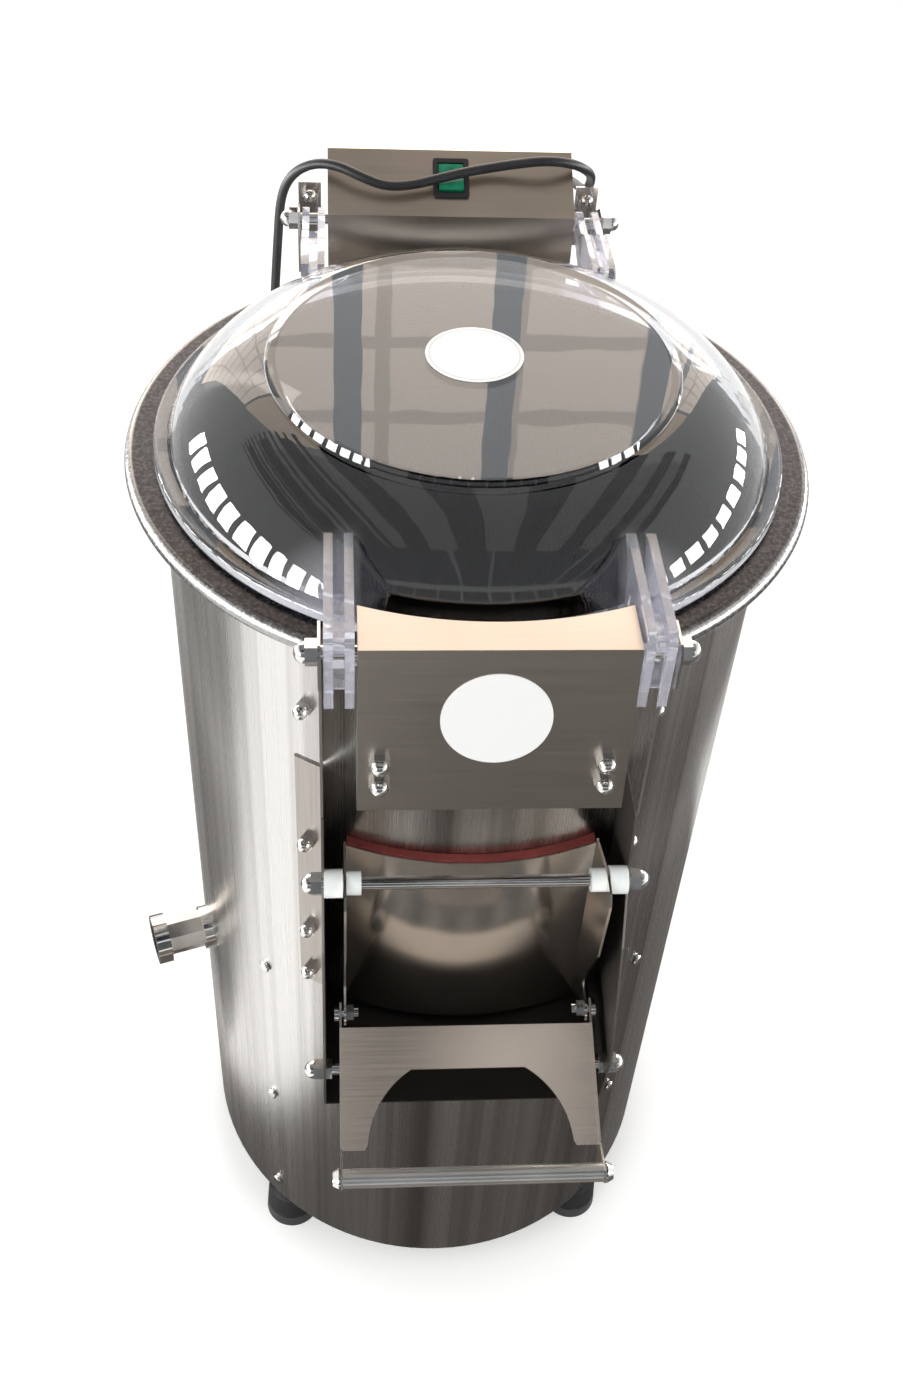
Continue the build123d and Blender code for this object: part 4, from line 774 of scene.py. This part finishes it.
class PEELER_OT_mains_cord(bpy.types.Operator):
    """Lay the mains cord from its gland over the console to the coil on the floor, with its tie"""

    bl_idname = "peeler.mains_cord"
    bl_label = "Mains cord"
    tie_thickness = 0.9 * MM
    tie_corner = 4.2 * MM
    tie_turn = math.radians(12)

    # The route in millimetres, in order from the gland
    gland_loop = (
        (64, 312, 690), (64.4, 326, 690), (66.5, 341, 692), (71.5, 354, 699),
        (79, 361.5, 712), (87, 362.5, 729), (95, 355.5, 746), (101, 340.5, 758),
        (103, 321, 764.5), (104.5, 302, 770), (106.5, 284, 778.5), (107, 272.5, 794),
    )
    over_console = (
        (100.5, 260.5, 805.5), (87.5, 252.5, 814.5), (68, 247.5, 818.5), (47.5, 249, 815),
        (28, 250, 811), (8.5, 246, 809), (-10.5, 240.5, 806.5), (-29, 236, 803.5),
        (-48, 234.5, 803), (-65, 237.5, 808.5), (-82, 245.5, 813), (-99, 253.5, 810.5),
    )
    down_to_floor = (
        (-114.5, 258.5, 800), (-123.5, 260.5, 782), (-126.5, 258, 748), (-131, 256, 690),
        (-136, 256.5, 600), (-139, 259, 504), (-140, 263, 408), (-139.5, 267, 312),
        (-136.5, 271, 216), (-129, 276, 126), (-108, 285, 54), (-68, 299, 6),
        (-20, 309, 3.5), (14, 307.8, 3.5),
    )
    coil_centre = (35, 350, 0)
    coil_level = (3.5, 10.7)  # lower and upper turns
    coil_degrees = (-84, 1156)
    coil_step = 20
    inward = (195, 268)  # degrees between which the turns go in
    upward = (518, 580)  # and up
    outward = (850, 922)  # and out again
    to_plug = (
        (31, 394.5, 11), (10, 395.5, 12.5), (-14, 391, 15.5), (-32, 387.5, 17.5), (-46, 387, 18),
    )

    def coil(self, cord):
        """An outer turn, two inner turns and an outer one on top, as points in metres."""
        points = []
        first, last = self.coil_degrees
        low, high = self.coil_level
        middle = Vector(self.coil_centre) * MM
        steps = (last - first) // self.coil_step
        for step in range(steps + 1):
            angle = first + self.coil_step * step
            inside = smooth_step(angle, *self.inward) - smooth_step(angle, *self.outward)
            radius = cord.outer_turn + (cord.inner_turn - cord.outer_turn) * inside
            level = low + (high - low) * smooth_step(angle, *self.upward)
            turned = math.radians(angle)
            points.append(
                (
                    middle.x + radius * math.cos(turned),
                    middle.y + radius * math.sin(turned),
                    level * MM,
                )
            )
        return points

    def execute(self, context):
        cord = context.scene.peeler_cord
        finishes = context.scene.peeler_finishes
        path = self.gland_loop + self.over_console + self.down_to_floor
        points = [tuple(MM * value for value in point) for point in path]
        points += self.coil(cord)
        points += [tuple(MM * value for value in point) for point in self.to_plug]
        line = bpy.data.curves.new("mains_cord", "CURVE")
        line.dimensions = "3D"
        spline = line.splines.new("NURBS")
        spline.points.add(len(points) - 1)
        for control, point in zip(spline.points, points):
            control.co = (*point, 1)
        spline.order_u = 3
        spline.use_endpoint_u = True
        spline.resolution_u = 6
        line.bevel_depth = cord.diameter / 2
        line.bevel_resolution = 4
        made = link_object("mains_cord", line)
        cable = moulded(
            "black_cable", finishes.plastic_colour, 0.45, grain_scale=700.0, depth=0.02 * MM
        )
        line.materials.append(cable)
        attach(made, "machine")
        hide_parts("power_cord", "cord_coil")
        tie = self.tie(cord, finishes)
        return {"FINISHED"}

    def tie(self, cord, finishes):
        """A flat strap round the coil's turns, on the side away from the plug."""
        thick = self.tie_thickness
        inner = cord.inner_turn - cord.diameter / 2 - thick
        outer = cord.outer_turn + cord.diameter / 2 + thick
        top = self.coil_level[1] * MM + cord.diameter / 2 + thick
        shape = bmesh.new()
        bmesh.ops.create_cube(shape, size=1)
        bmesh.ops.scale(shape, vec=(outer - inner, cord.tie_width, top), verts=shape.verts)
        along = [
            edge
            for edge in shape.edges
            if abs((edge.verts[0].co - edge.verts[1].co).normalized().y) > 0.9
        ]
        bmesh.ops.bevel(
            shape,
            geom=along,
            offset=self.tie_corner,
            segments=6,
            profile=0.5,
            affect="EDGES",
            material=-1,
        )
        ends = [face for face in shape.faces if abs(face.normal.y) > 0.9]
        bmesh.ops.delete(shape, geom=ends, context="FACES_ONLY")
        bmesh.ops.solidify(shape, geom=shape.faces, thickness=thick)
        bmesh.ops.recalc_face_normals(shape, faces=shape.faces)
        middle = (inner + outer) / 2
        bmesh.ops.translate(shape, vec=(middle, 0, top / 2), verts=shape.verts)
        turn = Matrix.Rotation(self.tie_turn, 3, "Z")
        bmesh.ops.rotate(shape, cent=(0, 0, 0), matrix=turn, verts=shape.verts)
        bmesh.ops.translate(shape, vec=Vector(self.coil_centre) * MM, verts=shape.verts)
        black = shade(finishes.plastic_colour, 1.6)
        strap = moulded("tie_strap", black, 0.75, grain_scale=1500.0, depth=0.08 * MM)
        made = link_mesh("cord_tie", shape, strap)
        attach(made, "machine")
        return made


class PEELER_OT_body(bpy.types.Operator):
    """Finish the brushed body, the rim and the fittings on it"""

    bl_idname = "peeler.body"
    bl_label = "Body and rim"

    def execute(self, context):
        finishes = context.scene.peeler_finishes
        dress(["body_shell", "side_plates", "hinge_brackets"], brushed_body(finishes))
        dress(["top_rim"], spun_rim(finishes))
        plated = polished_metal("plated_brass", finishes.plated_colour, roughness=0.10)
        dress(["drain_outlet", "drain_pipe", "water_inlet", "spray_nozzle"], plated)
        rubber = moulded(
            "black_rubber", finishes.rubber_colour, 0.65, grain_scale=500.0, depth=0.08 * MM
        )
        dress(["rubber_feet", "shaft_seal", "drive_belt"], rubber)
        return {"FINISHED"}


class PEELER_OT_lid(bpy.types.Operator):
    """Finish the clear lid and its blank label"""

    bl_idname = "peeler.lid"
    bl_label = "Clear lid"

    def execute(self, context):
        finishes = context.scene.peeler_finishes
        dress(["lid"], clear_plastic(finishes))
        label = ringed_label(finishes, "lid_label", ring_start=0.90, ring_end=0.94)
        dress(["lid_label"], label)
        return {"FINISHED"}


class PEELER_OT_front(bpy.types.Operator):
    """Finish the bracket, the chute, the door and the handle"""

    bl_idname = "peeler.front"
    bl_label = "Bracket, chute, door and handle"

    def execute(self, context):
        finishes = context.scene.peeler_finishes
        steel = finishes.sheet_colour
        sheet = satin_sheet(finishes, "bracket_steel", steel, SIDEWAYS)
        dress(["front_bracket", "panel_angles"], sheet)
        # painted light: the handle's sheet is the bracket's steel made about twice as pale, as
        # light on its upturned face
        paler = satin_sheet(finishes, "handle_lit_steel", shade(steel, 2.1), SIDEWAYS, roughness=0.2)
        dress(["handle_bracket"], paler)
        dress(["discharge_chute"], chute_sheet(finishes))
        dress(["front_label"], plain_label(finishes))
        door = plain_drum("door_panel_steel", finishes.door_colour, roughness=0.15)
        dress(["door_panel"], door)
        dress(["door_gasket"], silicone(finishes))
        nylon = moulded(
            "white_nylon", finishes.nylon_colour, 0.35, grain_scale=45.0, depth=0.02 * MM
        )
        dress(["door_bushes", "rod_spacers"], nylon)
        return {"FINISHED"}


class PEELER_OT_fasteners(bpy.types.Operator):
    """Finish the pins, rods, nuts, bolts and screws"""

    bl_idname = "peeler.fasteners"
    bl_label = "Pins, nuts and screws"

    def execute(self, context):
        finishes = context.scene.peeler_finishes
        bright = polished_metal("polished_steel", finishes.polished_colour)
        dress(
            [
                "frame_bolts", "frame_nuts", "latch_pins", "catch_pins", "hinge_pins",
                "cap_nuts", "door_rod", "pivot_bolts", "bar_screws", "leg_screws",
                "foot_screws", "disc_nut", "main_shaft", "motor_rotor", "bearings",
            ],
            bright,
        )
        bar = plain_drum("satin_bar_steel", finishes.polished_colour, roughness=0.3)
        dress(["handle_bar"], bar)
        return {"FINISHED"}


class PEELER_OT_console(bpy.types.Operator):
    """Finish the control box, its switch and its wiring"""

    bl_idname = "peeler.console"
    bl_label = "Control box and switch"

    def execute(self, context):
        finishes = context.scene.peeler_finishes
        sheet = satin_sheet(finishes, "box_sheet_steel", finishes.box_colour, SIDEWAYS)
        dress(["control_box", "control_box_back", "box_saddle"], sheet)
        plastic = moulded("black_plastic", finishes.plastic_colour, roughness=0.4)
        dress(["switch_case", "cable_gland", "mains_plug"], plastic)
        dress(["rocker"], green_plastic(finishes))
        dress(["motor_lead"], moulded("grey_cable", CABLE_GREY, roughness=0.5))
        dress(["run_capacitor"], moulded("capacitor_can", CAN_GREY, roughness=0.4))
        return {"FINISHED"}


class PEELER_OT_drive(bpy.types.Operator):
    """Finish the drum, the disc and the drive under it"""

    bl_idname = "peeler.drive"
    bl_label = "Drum and drive"

    def execute(self, context):
        finishes = context.scene.peeler_finishes
        drum = plain_drum("plain_drum_steel", finishes.drum_colour)
        dress(["inner_drum", "drum_floor"], drum)
        dress(["abrasive_lining", "peeling_disc"], abrasive_grit(finishes))
        alloy = cast_metal("pulley_alloy", ALLOY_GREY, metallic=1.0, roughness=0.4)
        dress(["driven_pulley", "motor_pulley"], alloy)
        painted = cast_metal(
            "painted_casting", finishes.casting_colour, metallic=0.0, roughness=0.5
        )
        dress(["motor_housing", "bearing_housing"], painted)
        sheet = satin_sheet(finishes, "frame_sheet_steel", finishes.sheet_colour)
        dress(["motor_plate", "base_ring", "frame_legs"], sheet)
        return {"FINISHED"}


OPERATORS = (
    PEELER_OT_camera_and_studio,
    PEELER_OT_mains_cord,
    PEELER_OT_body,
    PEELER_OT_lid,
    PEELER_OT_front,
    PEELER_OT_fasteners,
    PEELER_OT_console,
    PEELER_OT_drive,
)


class PEELER_PT_dressing(bpy.types.Panel):
    """Steps that dress the peeler, in order"""

    bl_label = "Potato peeler"
    bl_idname = "PEELER_PT_dressing"
    bl_space_type = "VIEW_3D"
    bl_region_type = "UI"
    bl_category = "Peeler"

    def draw(self, context):
        for operator in OPERATORS:
            self.layout.operator(operator.bl_idname)
        for group in ("peeler_finishes", "peeler_cord", "peeler_stage"):
            box = self.layout.box()
            settings = getattr(context.scene, group)
            for key in settings.__annotations__:
                box.prop(settings, key)


CLASSES = (PeelerFinishes, PeelerCord, PeelerStage, *OPERATORS, PEELER_PT_dressing)


def register():
    for made in CLASSES:
        bpy.utils.register_class(made)
    bpy.types.Scene.peeler_finishes = PointerProperty(type=PeelerFinishes)
    bpy.types.Scene.peeler_cord = PointerProperty(type=PeelerCord)
    bpy.types.Scene.peeler_stage = PointerProperty(type=PeelerStage)


def unregister():
    for key in ("peeler_finishes", "peeler_cord", "peeler_stage"):
        delattr(bpy.types.Scene, key)
    for made in reversed(CLASSES):
        bpy.utils.unregister_class(made)


def main():
    register()
    bpy.context.scene.view_settings.view_transform = "Standard"
    for operator in OPERATORS:
        group, name = operator.bl_idname.split(".")
        getattr(getattr(bpy.ops, group), name)()
    bpy.context.view_layer.update()


if __name__ == "__main__":
    main()
